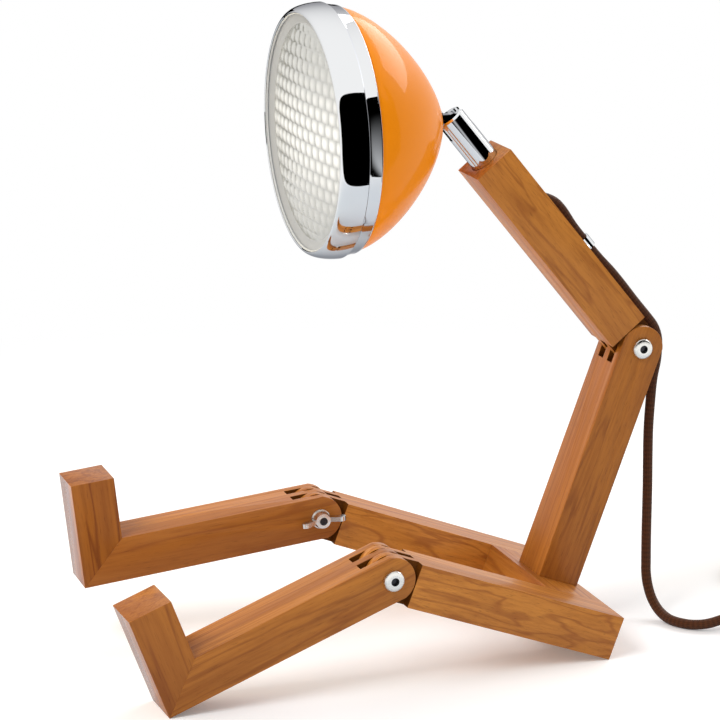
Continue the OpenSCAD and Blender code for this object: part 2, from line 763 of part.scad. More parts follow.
function band(r_in, r_out, front, depth) =
    [for (a = [90:-10:0]) [r_in + (r_out - r_in) * sin(a), front - depth * (1 - cos(a))]];

module head_rim() {
    outer = band(opening_r, rim_r, rim_front, band_depth);
    inner = band(opening_r, rim_r - rim_wall, rim_front - rim_wall, band_depth - rim_wall);
    reversed = [for (i = [len(inner) - 1:-1:0]) inner[i]];
    band_back = rim_front - band_depth;
    color("gainsboro") in_head() difference() {
        rotate_extrude($fn = head_fn)
            polygon([[skirt_r, rim_back], [rim_r - rim_step, band_back - 0.4], for (p = outer) p,
                     for (p = reversed) p, [rim_r - rim_step - rim_wall, band_back - 0.4],
                     [skirt_r - rim_wall, rim_back]]);
        at_rim_screw() cylinder(d = rim_screw_d + 0.2, h = 3 * rim_screw_d, center = true);
    }
}

// Under the rim's skirt, with Z pointing up into the head
module at_rim_screw() {
    translate([0, -skirt_r - rim_screw_rise, rim_back + rim_screw_at]) rotate([-90, 0, 0]) children();
}

module rim_screw() {
    nut_z = rim_screw_rise + rim_wall + rim_gap + shell_wall + 0.6;
    color("silver") in_head() at_rim_screw() {
        translate([0, 0, -0.6]) cylinder(d = rim_screw_d, h = nut_z + 3.4);
        translate([0, 0, -1.4]) cylinder(d1 = 4.4, d2 = 5.4, h = 1.4);
        translate([0, 0, nut_z]) cylinder(d = 6.4, h = 2.4, $fn = 6);
    }
}

module lens_seal() {
    color("whitesmoke") in_head() rotate_extrude($fn = head_fn)
        translate([opening_r - 0.8, lens_front]) square([1.4, gasket_t]);
}

module lens() {
    dome_r = opening_r - lens_border;
    rise = [for (a = [0:15:90]) [dome_r * cos(a), lens_front + lens_rise * sin(a)]];
    color("lightcyan", 0.5) in_head() rotate_extrude($fn = head_fn)
        polygon([[0, lens_back], [lens_r, lens_back], [lens_r, lens_front],
                 for (p = rise) p]);
}

module reflector() {
    steps = 14;
    hole_z = pow(reflector_hole_d / 2, 2) / (4 * reflector_focus);
    rim_z = pow(dish_r, 2) / (4 * reflector_focus);
    dish = [for (i = [0:steps]) let (z = hole_z + (rim_z - hole_z) * i / steps)
            [2 * sqrt(reflector_focus * z), dish_back + z]];
    back = [for (i = [steps:-1:0]) dish[i] - [0, reflector_t]];
    color("white") in_head() rotate_extrude($fn = head_fn)
        polygon([for (p = dish) p, [lens_r, lens_back], [lens_r, flange_back],
                 for (p = back) p]);
}

module stem_nut() {
    color("goldenrod") in_head() difference() {
        translate([0, 0, bracket_front]) cylinder(d = stem_d * 1.9, h = stem_nut_h, $fn = 6);
        translate([0, 0, bracket_front - 1]) cylinder(r = stem_d / 2 + run_gap, h = stem_nut_h + 2);
    }
}

module holder_bracket() {
    arm_front = holder_back + arm_len;
    color("silver") in_head() difference() {
        union() {
            translate([0, 0, bracket_back]) cylinder(r = plate_r, h = bracket_t);
            for (s = [-1, 1])
                translate([s > 0 ? arm_x : -arm_x - bracket_t, -bracket_w / 2, bracket_back])
                    cube([bracket_t, bracket_w, arm_front - bracket_back]);
        }
        translate([0, 0, bracket_back - 1]) cylinder(r = stem_d / 2 + run_gap, h = bracket_t + 2);
        at_bracket_screws() x_pin(1.3, -1, 2 * holder_d);
    }
}

module at_bracket_screws() {
    for (turn = [0, 180])
        translate([0, 0, holder_back + bracket_screw_at]) rotate([0, 0, turn]) children();
}

module bracket_screws() {
    head_x = arm_x + bracket_t;
    color("silver") in_head() at_bracket_screws() {
        x_pin(1.25, holder_d / 2 - 3, head_x);
        x_pin(2.2, head_x, head_x + 1.4);
    }
}

module lamp_holder() {
    color("ivory") in_head() difference() {
        translate([0, 0, holder_back]) cylinder(d = holder_d, h = holder_len);
        translate([0, 0, holder_front - bulb_foot])
            cylinder(d = bulb_foot_d + 2 * run_gap, h = bulb_foot + 1);
        at_bracket_screws() x_pin(1.3, holder_d / 2 - 3.2, holder_d);
    }
}

module bulb() {
    glass_r = bulb_d / 2;
    color("white") in_head() translate([0, 0, holder_front]) rotate_extrude()
        polygon([[0, -bulb_foot], [bulb_foot_d / 2, -bulb_foot], [bulb_foot_d / 2, 0], [glass_r, 0],
                 for (a = [0:15:90]) [glass_r * cos(a), bulb_len - glass_r + glass_r * sin(a)]]);
}

// ---- cord ----

function unit(v) = v / norm(v);

// A point given in the upper torso's frame, measured from the seat's back edge
function from_torso(p) = let (lean = waist_bend - seat_tilt)
    [0, waist_back + (bar_h / 2 + p[0]) * cos(lean) - p[1] * sin(lean),
     waist_up + (bar_h / 2 + p[0]) * sin(lean) + p[1] * cos(lean)];

function behind_waist(p) = [0, waist_back + p[0], waist_up + p[1]];

// Two points on the axis of the exit hole, inside the bush and just outside it
function on_exit(d) = [d * sin(exit_slope), upper_torso_len - exit_drop - d * cos(exit_slope)];

function carried(u, d) = unit(u - (u * d) * d);

function sides_of(d, u, i = 0) =
    i == len(d) ? [] : let (v = carried(u, d[i])) concat([v], sides_of(d, v, i + 1));

// A tube swept along the route from its point first to its point last, closed at both ends
module cord(route, first, last) {
    end = len(route) - 1;
    dirs = [for (i = [first:last]) unit(route[min(i + 1, end)] - route[max(i - 1, 0)])];
    sides = sides_of(dirs, [0.9, 0.1, 0.3]);
    n = last - first + 1;
    verts = [for (i = [0:n - 1], k = [0:cord_sides - 1]) let (a = 360 * k / cord_sides)
             route[first + i] + cord_r * (cos(a) * sides[i] + sin(a) * cross(dirs[i], sides[i]))];
    walls = [for (i = [0:n - 2], k = [0:cord_sides - 1]) let (j = (k + 1) % cord_sides, b = i * cord_sides)
             [b + k, b + cord_sides + k, b + cord_sides + j, b + j]];
    ends = [[for (k = [0:cord_sides - 1]) k],
            [for (k = [cord_sides - 1:-1:0]) (n - 1) * cord_sides + k]];
    color("saddlebrown") on_surface() polyhedron(verts, faces = concat(walls, ends), convexity = 8);
}

// From inside the torso down its back, round the waist, down to the surface and into the switch
hung_route = concat([for (d = [-7, 1.5]) from_torso(on_exit(d))], [for (p = back_route) from_torso(p)],
                    [for (p = waist_route) behind_waist(p)], drop_route, mouth_route);
back_end = len(back_route) + 1;
waist_end = back_end + len(waist_route);

module cord_back() { cord(hung_route, 0, back_end); }
module cord_waist() { cord(hung_route, back_end, waist_end); }
module cord_drop() { cord(hung_route, waist_end, len(hung_route) - 1); }
module cord_lead() { cord(lead_route, 0, len(lead_route) - 1); }
module cord_tail() { cord(tail_route, 0, len(tail_route) - 1); }

module cord_coil() {
    color("saddlebrown") on_surface() translate([coil_at[0], coil_at[1], 0]) rotate_extrude($fn = 72)
        polygon([[coil_d / 2 - coil_half, 0], [coil_d / 2 + coil_half, 0],
                 [coil_d / 2 + coil_half, cord_r], [coil_d / 2 + coil_half - cord_r, coil_h],
                 [coil_d / 2 - coil_half + cord_r, coil_h], [coil_d / 2 - coil_half, cord_r]]);
}

// ---- in-line switch: Y along the cord ----

// A flat oval in X and Y
module oval(len, w) {
    translate([0, w / 2]) circle(d = w);
    translate([0, len - w / 2]) circle(d = w);
    translate([-w / 2, w / 2]) square([w, len - w]);
}

module switch_cavity(z0, z1) {
    translate([0, switch_wall, z0]) linear_extrude(z1 - z0)
        oval(switch_len - 2 * switch_wall, switch_w - 2 * switch_wall);
}

module switch_screw_places() {
    for (s = [-1, 1]) translate([0, switch_len / 2 + s * (switch_len / 2 - 9), 0]) children();
}

module switch_base() {
    color("saddlebrown") in_switch() difference() {
        union() {
            difference() {
                linear_extrude(switch_h / 2) oval(switch_len, switch_w);
                switch_cavity(switch_wall, switch_h);
            }
            switch_screw_places() cylinder(d = 6, h = switch_h / 2);
        }
        switch_screw_places() translate([0, 0, -1]) cylinder(r = 1.3, h = switch_h);
        switch_screw_places() translate([0, 0, -1]) cylinder(r = 2.4, h = 3);
        switch_mouths();
    }
}

// Holes for the sleeves in both ends of the case
module switch_mouths() {
    for (y = [-1, switch_len - switch_wall - 1])
        translate([0, y, mouth_z]) rotate([-90, 0, 0])
            cylinder(r = sleeve_d / 2 + run_gap, h = switch_wall + 2);
}

// Tapered sleeves round the cord, held in the case's ends
module switch_sleeves() {
    inside = switch_wall + 1;
    color("saddlebrown") in_switch() for (turn = [0, 180])
        translate([0, switch_len / 2, mouth_z]) rotate([0, 0, turn]) translate([0, -switch_len / 2, 0])
            rotate([-90, 0, 0]) difference() {
                union() {
                    translate([0, 0, -sleeve_len]) cylinder(d1 = sleeve_tip_d, d2 = sleeve_d, h = sleeve_len);
                    cylinder(d = sleeve_d, h = inside);
                }
                translate([0, 0, -sleeve_len - 1])
                    cylinder(r = cord_r + run_gap, h = sleeve_len + inside + 2);
            }
}

module at_rocker() { in_switch() translate([0, switch_len / 2, rocker_pin_z]) children(); }

module switch_cover() {
    window_l = rocker_len + 2 * rocker_gap;
    window_w = rocker_w + 2 * rocker_gap;
    rib_x = window_w / 2;
    color("saddlebrown") difference() {
        in_switch() union() {
            difference() {
                translate([0, 0, switch_h / 2]) linear_extrude(switch_h / 2) oval(switch_len, switch_w);
                switch_cavity(0, switch_h - switch_wall);
            }
            switch_screw_places() translate([0, 0, switch_h / 2]) cylinder(d = 6, h = switch_h / 2);
            for (s = [-1, 1])
                translate([s > 0 ? rib_x : -rib_x - 2, switch_len / 2 - 3, switch_h / 2 + 2])
                    cube([2, 6, switch_h / 2 - 2 - switch_wall / 2]);
        }
        at_rocker() translate([-window_w / 2, -window_l / 2, -1]) cube([window_w, window_l, switch_h]);
        at_rocker() x_pin(rocker_pin_d / 2 + run_gap, -rib_x - 3, rib_x + 3);
        in_switch() switch_screw_places() cylinder(r = 1.3, h = switch_h - 3);
        in_switch() switch_mouths();
    }
}

module switch_block() {
    color("ivory") in_switch() translate([-switch_w / 4, (switch_len - block_len) / 2, switch_wall])
        cube([switch_w / 2, block_len, switch_h / 2 - switch_wall - 1]);
}

// A shallow vee, so that one half lies level when the rocker is over
module switch_rocker() {
    top = switch_h - rocker_pin_z;
    half = rocker_len / 2;
    drop = half * tan(rocker_tilt);
    nose = (top + drop) * sin(rocker_tilt);
    color("black") at_rocker() rotate([rocker_tilt, 0, 0]) {
        across(-rocker_w / 2, rocker_w / 2)
            polygon([[nose - half, top + drop], [0, top], [half - nose, top + drop], [half, 0.6],
                     [3, -2.2], [-3, -2.2], [-half, 0.6]]);
        x_pin(rocker_pin_d / 2, -rocker_w / 2 - rocker_gap - 1.6, rocker_w / 2 + rocker_gap + 1.6);
    }
}

module switch_screws() {
    color("silver") in_switch() switch_screw_places() {
        translate([0, 0, 0.5]) cylinder(r = 1.25, h = switch_h - 4);
        translate([0, 0, 0.5]) cylinder(r = 2.3, h = 1.5);
    }
}

// ---- plug: X along its pins ----

module plug_body() {
    color("saddlebrown") in_plug() {
        translate([0, 0, plug_z]) rotate([0, 90, 0])
            cylinder(d1 = sleeve_tip_d, d2 = relief_d, h = relief_len + 0.01);
        translate([relief_len, -plug_w / 4, 0]) cube([plug_len / 2, plug_w / 2, plug_h]);
        translate([relief_len + plug_len / 2 - 0.01, -plug_w / 2 + plug_z, 0])
            cube([plug_len / 2, plug_w - plug_h, plug_h]);
        for (s = [-1, 1])
            translate([relief_len + plug_len / 2 - 0.01, s * (plug_w - plug_h) / 2, plug_z])
                rotate([0, 90, 0]) cylinder(d = plug_h, h = plug_len / 2);
    }
}

module plug_pins() {
    color("silver") in_plug() for (s = [-1, 1])
        translate([relief_len + plug_len, s * plug_pin_gap / 2, plug_z])
            x_pin(plug_pin_d / 2, 0, plug_pin_len);
}

left_thigh();
right_thigh();
seat_block();
seat_dowels();
lower_torso();
torso_screws();
waist_bolt();
waist_washer();
waist_wing_nut();
left_shin();
left_foot();
left_foot_dowels();
left_knee_bolt();
left_knee_washer();
left_wing_nut();
right_shin();
right_foot();
right_foot_dowels();
right_knee_bolt();
right_knee_washer();
right_wing_nut();
upper_torso();
neck_set_screw();
cord_bush();
cord_clip();
clip_screws();
neck_tube();
tilt_pin();
head_tongue();
head_shell();
head_rim();
rim_screw();
lens();
lens_seal();
reflector();
stem_nut();
holder_bracket();
bracket_screws();
lamp_holder();
bulb();
cord_back();
cord_waist();
cord_drop();
cord_lead();
cord_coil();
cord_tail();
switch_base();
switch_cover();
switch_block();
switch_rocker();
switch_screws();
switch_sleeves();
plug_body();
plug_pins();
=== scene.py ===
"""Dresses the sitting timber figure lamp: timber bars, chrome fittings, headlamp, cord and studio."""
import json
import math

import bpy
import numpy as np
from mathutils import Matrix, Vector

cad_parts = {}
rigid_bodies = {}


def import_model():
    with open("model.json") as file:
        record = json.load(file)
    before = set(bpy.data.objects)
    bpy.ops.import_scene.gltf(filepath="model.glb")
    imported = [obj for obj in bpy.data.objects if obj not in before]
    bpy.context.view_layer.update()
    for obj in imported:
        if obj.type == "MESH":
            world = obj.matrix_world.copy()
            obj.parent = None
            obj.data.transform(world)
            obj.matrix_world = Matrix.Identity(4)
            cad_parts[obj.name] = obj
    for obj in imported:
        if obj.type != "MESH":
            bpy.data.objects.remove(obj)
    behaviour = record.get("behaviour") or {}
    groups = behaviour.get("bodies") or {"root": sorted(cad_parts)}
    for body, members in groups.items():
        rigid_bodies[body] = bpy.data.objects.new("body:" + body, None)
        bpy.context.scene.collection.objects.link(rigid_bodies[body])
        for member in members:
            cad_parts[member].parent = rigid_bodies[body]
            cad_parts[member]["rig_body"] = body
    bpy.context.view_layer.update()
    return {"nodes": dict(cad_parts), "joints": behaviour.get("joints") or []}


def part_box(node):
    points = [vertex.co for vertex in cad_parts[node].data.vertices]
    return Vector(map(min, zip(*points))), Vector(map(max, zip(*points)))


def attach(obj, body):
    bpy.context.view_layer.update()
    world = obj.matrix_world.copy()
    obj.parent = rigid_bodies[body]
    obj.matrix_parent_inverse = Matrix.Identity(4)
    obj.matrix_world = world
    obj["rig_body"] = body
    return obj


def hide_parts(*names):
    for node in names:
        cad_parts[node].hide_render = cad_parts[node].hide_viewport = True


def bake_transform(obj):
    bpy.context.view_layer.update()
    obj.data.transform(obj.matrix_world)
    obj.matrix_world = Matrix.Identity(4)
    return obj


bl_info = {
    "name": "Timber Figure Lamp",
    "version": (1, 0, 0),
    "blender": (4, 5, 0),
    "location": "View3D > Sidebar > Figure Lamp",
    "description": "Builds the looks of a sitting timber figure lamp around its packed frame",
    "category": "Object",
}

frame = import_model()
NODES = frame["nodes"]
JOINTS = {j["name"]: j for j in frame["joints"]}
ROOT_BODY = "seat_and_cord"
MM = 0.001

# ---- places, from the frame ----


def joint_at(name):
    return np.array(JOINTS[name]["pos_m"], float)


def joint_axis(name):
    return np.array(JOINTS[name]["axis"], float)


def turned(v, axis, degrees):
    """v turned about axis by degrees, by Rodrigues' formula."""
    k = axis / np.linalg.norm(axis)
    c, s = math.cos(math.radians(degrees)), math.sin(math.radians(degrees))
    return v * c + np.cross(k, v) * s + k * (k @ v) * (1 - c)


X_AXIS = np.array([1.0, 0.0, 0.0])
WAIST = joint_at("waist")
TORSO_UP = joint_axis("neck_swivel")
TORSO_BACK = np.cross(TORSO_UP, X_AXIS)
TILT_PIN = joint_at("head_tilt")
# The switch's ends, in mm behind the seat's back edge
SWITCH_ENDS = (114, 164)
SEAT_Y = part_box("switch_base")[0][1] - SWITCH_ENDS[0] * MM
SEAT_TILT = math.atan2(-joint_axis("left_knee")[2], joint_axis("left_knee")[1])
SEAT_UP = np.array([0.0, math.sin(SEAT_TILT), math.cos(SEAT_TILT)])
# The bars' height and width, and how far the head looks down
BAR_H = 24.5 * MM
BAR_W = 29.6 * MM
HEAD_DROOP = math.radians(0.8)
HEAD_OUT = np.array([0.0, -math.cos(HEAD_DROOP), -math.sin(HEAD_DROOP)])
HEAD_UP = np.array([0.0, -math.sin(HEAD_DROOP), math.cos(HEAD_DROOP)])


# ---- settings ----


class TimberSettings(bpy.types.PropertyGroup):
    edge: bpy.props.FloatProperty(
        name="Edge", description="Rounding of the timber's edges", default=0.25 * MM, min=0, unit="LENGTH")
    pale: bpy.props.FloatVectorProperty(
        name="Pale wood", description="Colour of the wood between its streaks",
        subtype="COLOR", size=3, default=(0.6, 0.234, 0.036))
    deep: bpy.props.FloatVectorProperty(
        name="Deep wood", description="Colour of the wood in its streaks",
        subtype="COLOR", size=3, default=(0.25, 0.064, 0.009))
    sheen: bpy.props.FloatProperty(
        name="Lacquer", description="Amount of clear lacquer", default=0.16, min=0, max=1, subtype="FACTOR")


class HeadSettings(bpy.types.PropertyGroup):
    paint: bpy.props.FloatVectorProperty(
        name="Paint", description="Colour of the lamp shell",
        subtype="COLOR", size=3, default=(1.0, 0.29, 0.004))
    shell_r: bpy.props.FloatProperty(
        name="Shell radius", description="Radius of the shell at its front", default=65.6 * MM, unit="LENGTH")
    bowl_depth: bpy.props.FloatProperty(
        name="Bowl depth", description="Depth of the whole bowl", default=56.8 * MM, unit="LENGTH")
    bowl_power: bpy.props.FloatProperty(
        name="Bowl roundness", description="2 is an ellipse, less is more pointed",
        default=1.48, min=1, max=3)
    rim_r: bpy.props.FloatProperty(
        name="Rim radius", description="Largest radius of the rim", default=68.5 * MM, unit="LENGTH")
    opening_r: bpy.props.FloatProperty(
        name="Opening radius", description="Radius of the rim's front opening",
        default=63.7 * MM, unit="LENGTH")
    cell_w: bpy.props.FloatProperty(
        name="Prism width", description="Width of one cell of the lens", default=9 * MM, unit="LENGTH")
    cell_h: bpy.props.FloatProperty(
        name="Prism height", description="Height of one cell of the lens", default=7.1 * MM, unit="LENGTH")


class CordSettings(bpy.types.PropertyGroup):
    diameter: bpy.props.FloatProperty(
        name="Diameter", description="Diameter of the cord", default=5.6 * MM, unit="LENGTH")
    colour: bpy.props.FloatVectorProperty(
        name="Braid", description="Colour of the cord's braid",
        subtype="COLOR", size=3, default=(0.09, 0.028, 0.008))
    coil_d: bpy.props.FloatProperty(
        name="Coil", description="Diameter of the coil's middle turn", default=62 * MM, unit="LENGTH")
    coil_turns: bpy.props.FloatProperty(
        name="Turns", description="Turns in the coil's lower layer", default=3.5, min=1)


class StageSettings(bpy.types.PropertyGroup):
    key: bpy.props.FloatProperty(
        name="Key", description="Power of the key lamp", default=27.0, unit="POWER")
    back: bpy.props.FloatProperty(
        name="Back", description="Power of the back lamp", default=17.0, unit="POWER")
    fill: bpy.props.FloatProperty(
        name="Fill", description="Power of the low front lamp", default=15.0, unit="POWER")
    sky: bpy.props.FloatProperty(
        name="Sky", description="Strength of the even light", default=0.5, min=0)
    lens: bpy.props.FloatProperty(
        name="Lens", description="Focal length of the camera", default=159.7, min=1)


# ---- shader helpers ----


def new_material(name):
    """An empty node material and its tree."""
    made = bpy.data.materials.new(name)
    made.use_nodes = True
    made.node_tree.nodes.clear()
    return made, made.node_tree


def add(tree, kind, inputs=None, **settings):
    """Adds a shader node. inputs maps a socket's name or number to a value or another node's socket."""
    made = tree.nodes.new("ShaderNode" + kind)
    for key, value in settings.items():
        setattr(made, key, value)
    for key, value in (inputs or {}).items():
        if isinstance(value, bpy.types.NodeSocket):
            tree.links.new(value, made.inputs[key])
        else:
            socket = made.inputs[key]
            socket.default_value = (*value, 1.0) if socket.type == "RGBA" else value
    return made


def surface(tree, inputs):
    """The principled shader and the output that it goes to."""
    shader = add(tree, "BsdfPrincipled", inputs)
    add(tree, "OutputMaterial", {"Surface": shader.outputs[0]})


def maths(tree, operation, *values):
    """The result of a maths node, whose values are numbers or other nodes' sockets."""
    return add(tree, "Math", dict(enumerate(values)), operation=operation).outputs[0]


def vector_maths(tree, operation, *values):
    """The outputs of a vector maths node: the vector is first, and lengths and products are Value."""
    return add(tree, "VectorMath", dict(enumerate(values)), operation=operation).outputs


def object_coords(tree):
    return add(tree, "TexCoord").outputs["Object"]


def noise(tree, coords, scale, detail, roughness, distortion=0.0):
    made = add(tree, "TexNoise", {
        "Vector": coords, "Scale": scale, "Detail": detail, "Roughness": roughness, "Distortion": distortion})
    return made.outputs["Fac"]


def ramp(tree, value, low, high, to_low=0.0, to_high=1.0):
    """value from low..high to to_low..to_high, smoothly and clamped."""
    made = add(tree, "MapRange", {
        "Value": value, "From Min": low, "From Max": high, "To Min": to_low, "To Max": to_high},
        interpolation_type="SMOOTHSTEP")
    return made.outputs["Result"]


def blend_colour(tree, fac, a, b):
    """Colour a where fac is 0, and b where it is 1."""
    return add(tree, "Mix", {0: fac, 6: a, 7: b}, data_type="RGBA").outputs[2]


def emission(tree, rgb, strength):
    return add(tree, "Emission", {"Color": rgb, "Strength": strength}).outputs[0]


def bump(tree, height, distance, strength):
    made = add(tree, "Bump", {"Height": height, "Distance": distance, "Strength": strength})
    return made.outputs["Normal"]


# ---- materials ----


# The timber's figure: cells in a metre across, through and along the bar; detail, roughness, distortion
FIGURE = {
    "broad": ((62, 30, 2.6), 3.0, 0.55, 0.35),
    "lines": ((190, 80, 3.4), 2.0, 0.5, 0.5),
    "fine": ((900, 500, 16), 2.0, 0.6, 0.0),
    "pores": ((2600, 2600, 130), 1.0, 0.5, 0.0),
}
# How far the figure moves for a seed of 1
SEED_STEP = Vector((0.031, 0.017, 0.05))


def wood(name, origin, along, across, tone=1.0, warm=0.0, slant=(0.0, 0.0), seed=0.0, streaks=1.0,
         gloss=1.0, polished=None):
    """Lacquered timber: streaks that run along the bar, fine dark lines between them, and short pores.

    tone multiplies its colours, warm takes green and blue from them, and slant turns its grain. The
    face that looks in the direction polished has a full coat of lacquer.
    """
    settings = bpy.context.scene.lamp_timber
    made, tree = new_material(name)
    thick = np.cross(along, across)
    turn = Matrix([across, thick, along])
    grain = (Matrix.Rotation(slant[0], 3, "X") @ Matrix.Rotation(slant[1], 3, "Y")) @ turn
    place = -(grain @ Vector(origin)) + SEED_STEP * seed
    coords = add(tree, "Mapping", {
        "Vector": object_coords(tree), "Rotation": grain.to_euler(), "Location": place}).outputs[0]

    def figure(layer):
        cells, detail, roughness, distortion = FIGURE[layer]
        stretched = add(tree, "Mapping", {"Vector": coords, "Scale": cells}).outputs[0]
        return noise(tree, stretched, 1.0, detail, roughness, distortion)

    fine = figure("fine")
    pores = figure("pores")
    ridge = maths(tree, "ABSOLUTE", maths(tree, "SUBTRACT", figure("lines"), 0.5))
    warmth = Vector((1.0, 1.0 - 0.16 * warm, 1.0 - 0.42 * warm)) * tone
    pale = [a * b for a, b in zip(settings.pale, warmth)]
    deep = [a * b for a, b in zip(settings.deep, warmth)]
    body = blend_colour(tree, ramp(tree, figure("broad"), 0.34, 0.72, 0.05, 0.62 * streaks), pale, deep)
    body = blend_colour(tree, ramp(tree, ridge, 0.0, 0.045, 0.55 * streaks, 0.0), body, deep)
    body = blend_colour(tree, ramp(tree, fine, 0.35, 0.75, 0.0, 0.34), body, deep)
    pore = [0.4 * c for c in deep]
    body = blend_colour(tree, ramp(tree, pores, 0.60, 0.78, 0.0, 0.45), body, pore)
    relief = maths(tree, "ADD", fine, pores)
    coat = settings.sheen * gloss
    if polished is not None:
        normal = add(tree, "TexCoord").outputs["Normal"]
        facing = vector_maths(tree, "DOT_PRODUCT", normal, tuple(polished))["Value"]
        coat = ramp(tree, facing, 0.9, 0.95, coat, 1.0)
    surface(tree, {
        "Base Color": body, "Roughness": ramp(tree, fine, 0.2, 0.8, 0.42, 0.56),
        "Specular IOR Level": 0.2 * gloss, "Normal": bump(tree, relief, 0.05 * MM, 0.35),
        "Coat Weight": coat, "Coat Roughness": 0.2, "Coat IOR": 1.6,
        "Coat Normal": bump(tree, relief, 0.02 * MM, 0.25)})
    return made


def chrome(name, tint=(0.86, 0.87, 0.88), rough=0.035):
    """Polished plating with the faint haze that handling leaves."""
    made, tree = new_material(name)
    haze = noise(tree, object_coords(tree), 90.0, 3.0, 0.6)
    surface(tree, {
        "Base Color": tint, "Metallic": 1.0, "Specular Tint": (0.34, 0.34, 0.36),
        "Roughness": ramp(tree, haze, 0.35, 0.75, rough * 0.7, rough * 1.8)})
    return made


def plated_steel(name):
    """Zinc-plated steel, dull and a little mottled."""
    made, tree = new_material(name)
    mottle = noise(tree, object_coords(tree), 700.0, 3.0, 0.6)
    surface(tree, {
        "Base Color": blend_colour(tree, mottle, (0.50, 0.50, 0.48), (0.68, 0.68, 0.65)),
        "Metallic": 1.0, "Roughness": ramp(tree, mottle, 0.3, 0.7, 0.22, 0.38)})
    return made


# The radii over which a bolt's socket of painted shade ends, and over which painted shade darkens its head to
# the edge
SOCKET_SHADE_R = (2.2 * MM, 2.4 * MM)
BOLT_EDGE_SHADE_R = (4.6 * MM, 5.7 * MM)


def bolt_steel(name, centre, axis):
    """Satin plating with a socket of painted shade about the bolt's axis, and painted shade towards the
    head's edge: distance = |(point - centre) x axis|.
    """
    made, tree = new_material(name)
    rel = vector_maths(tree, "SUBTRACT", object_coords(tree), tuple(centre))[0]
    off = vector_maths(tree, "CROSS_PRODUCT", rel, tuple(axis))[0]
    away = vector_maths(tree, "LENGTH", off)["Value"]
    haze = noise(tree, object_coords(tree), 600.0, 3.0, 0.6)
    # Painted shade: the head darkens towards its edge, and its socket is near black.
    edge = ramp(tree, away, *BOLT_EDGE_SHADE_R, 0.0, 0.45)
    plate = blend_colour(tree, edge, (0.93, 0.91, 0.86), (0.55, 0.53, 0.50))
    socket = (0.05, 0.05, 0.055)
    surface(tree, {
        "Base Color": blend_colour(tree, ramp(tree, away, *SOCKET_SHADE_R), socket, plate),
        "Metallic": 1.0, "Roughness": ramp(tree, haze, 0.3, 0.7, 0.2, 0.32)})
    return made


def gloss_paint(name, rgb):
    """Baked gloss paint under a clear coat, with a very slight orange peel."""
    made, tree = new_material(name)
    peel = noise(tree, object_coords(tree), 420.0, 1.0, 0.4)
    surface(tree, {
        "Base Color": rgb, "Roughness": 0.4, "Specular IOR Level": 0.05,
        "Coat Weight": 0.3, "Coat Roughness": 0.05, "Coat IOR": 1.4,
        "Coat Normal": bump(tree, peel, 0.012 * MM, 0.12)})
    return made


def plastic(name, rgb, rough, grain=0.02):
    """Moulded plastic with a fine spark-eroded grain, whose depth is in mm."""
    made, tree = new_material(name)
    spark = noise(tree, object_coords(tree), 2600.0, 2.0, 0.6)
    tint = blend_colour(tree, spark, [c * 0.92 for c in rgb], [min(1, c * 1.06) for c in rgb])
    surface(tree, {"Base Color": tint, "Roughness": rough, "Normal": bump(tree, spark, grain * MM, 0.5)})
    return made


def braid(name, rgb):
    """Textile braid: threads wind round the cord both ways, and pass over and under each other."""
    made, tree = new_material(name)
    uv = add(tree, "UVMap", uv_map="Braid").outputs[0]
    threads, turns = add(tree, "SeparateXYZ", {0: uv}).outputs[:2]

    def wave(sign):
        phase = maths(tree, "ADD", threads, maths(tree, "MULTIPLY", turns, sign))
        return maths(tree, "SINE", maths(tree, "MULTIPLY", phase, 2 * math.pi))

    over = maths(tree, "MULTIPLY", wave(1.0), wave(-1.0))
    fuzz = noise(tree, object_coords(tree), 3200.0, 2.0, 0.6)
    height = maths(tree, "MULTIPLY_ADD", over, 0.5, fuzz)
    shaded = [c * 0.55 for c in rgb]
    fluff = [min(1, c * 2.1) for c in rgb]
    tint = blend_colour(tree, ramp(tree, over, -0.8, 0.8), shaded, rgb)
    tint = blend_colour(tree, ramp(tree, fuzz, 0.45, 0.8, 0.0, 0.35), tint, fluff)
    surface(tree, {
        "Base Color": tint, "Roughness": 0.75, "Specular IOR Level": 0.25, "Sheen Weight": 0.08,
        "Normal": bump(tree, height, 0.22 * MM, 0.8)})
    return made


def prism_glass(name):
    """Pressed lens glass whose prisms carry painted glints: pale where the mesh's attribute painted_glint is
    high, grey between.
    """
    made, tree = new_material(name)
    painted_glint = add(tree, "Attribute", attribute_name="painted_glint").outputs["Fac"]
    # Painted glint: pale on the prisms' pillows, grey between them.
    surface(tree, {
        "Base Color": blend_colour(tree, painted_glint, (0.3, 0.308, 0.3), (0.84, 0.85, 0.86)),
        "Roughness": 0.09, "Transmission Weight": 0.15, "IOR": 1.48})
    return made


MATERIALS = {}


def make_materials():
    head = bpy.context.scene.lamp_head
    cord = bpy.context.scene.lamp_cord
    MATERIALS.update({
        "chrome": chrome("Chrome plate"),
        "bright": chrome("Nickel plate", (0.93, 0.91, 0.87), 0.2),
        "steel": plated_steel("Zinc plate"),
        "mirror": chrome("Mirror dish", (0.62, 0.625, 0.61), 0.12),
        "ground": plastic("Ground glass", (0.34, 0.345, 0.35), 0.3),
        "paint": gloss_paint("Orange gloss", head.paint),
        "lens": prism_glass("Prism glass"),
        "seal": plastic("Pale seal", (0.72, 0.72, 0.70), 0.6),
        "braid": braid("Brown braid", cord.colour),
        "black": plastic("Black moulding", (0.018, 0.018, 0.02), 0.4),
        "brown": plastic("Brown moulding", (0.055, 0.026, 0.016), 0.36),
        "ivory": plastic("Ivory moulding", (0.74, 0.70, 0.58), 0.5),
        "brass": chrome("Machined brass", (0.78, 0.58, 0.27), 0.22),
        "frosted": plastic("Frosted glass", (0.86, 0.86, 0.84), 0.35, 0.008),
    })


def dress(node, material):
    """Gives a CAD node its finish."""
    mesh = NODES[node].data
    mesh.materials.clear()
    mesh.materials.append(material)


# ---- mesh helpers ----


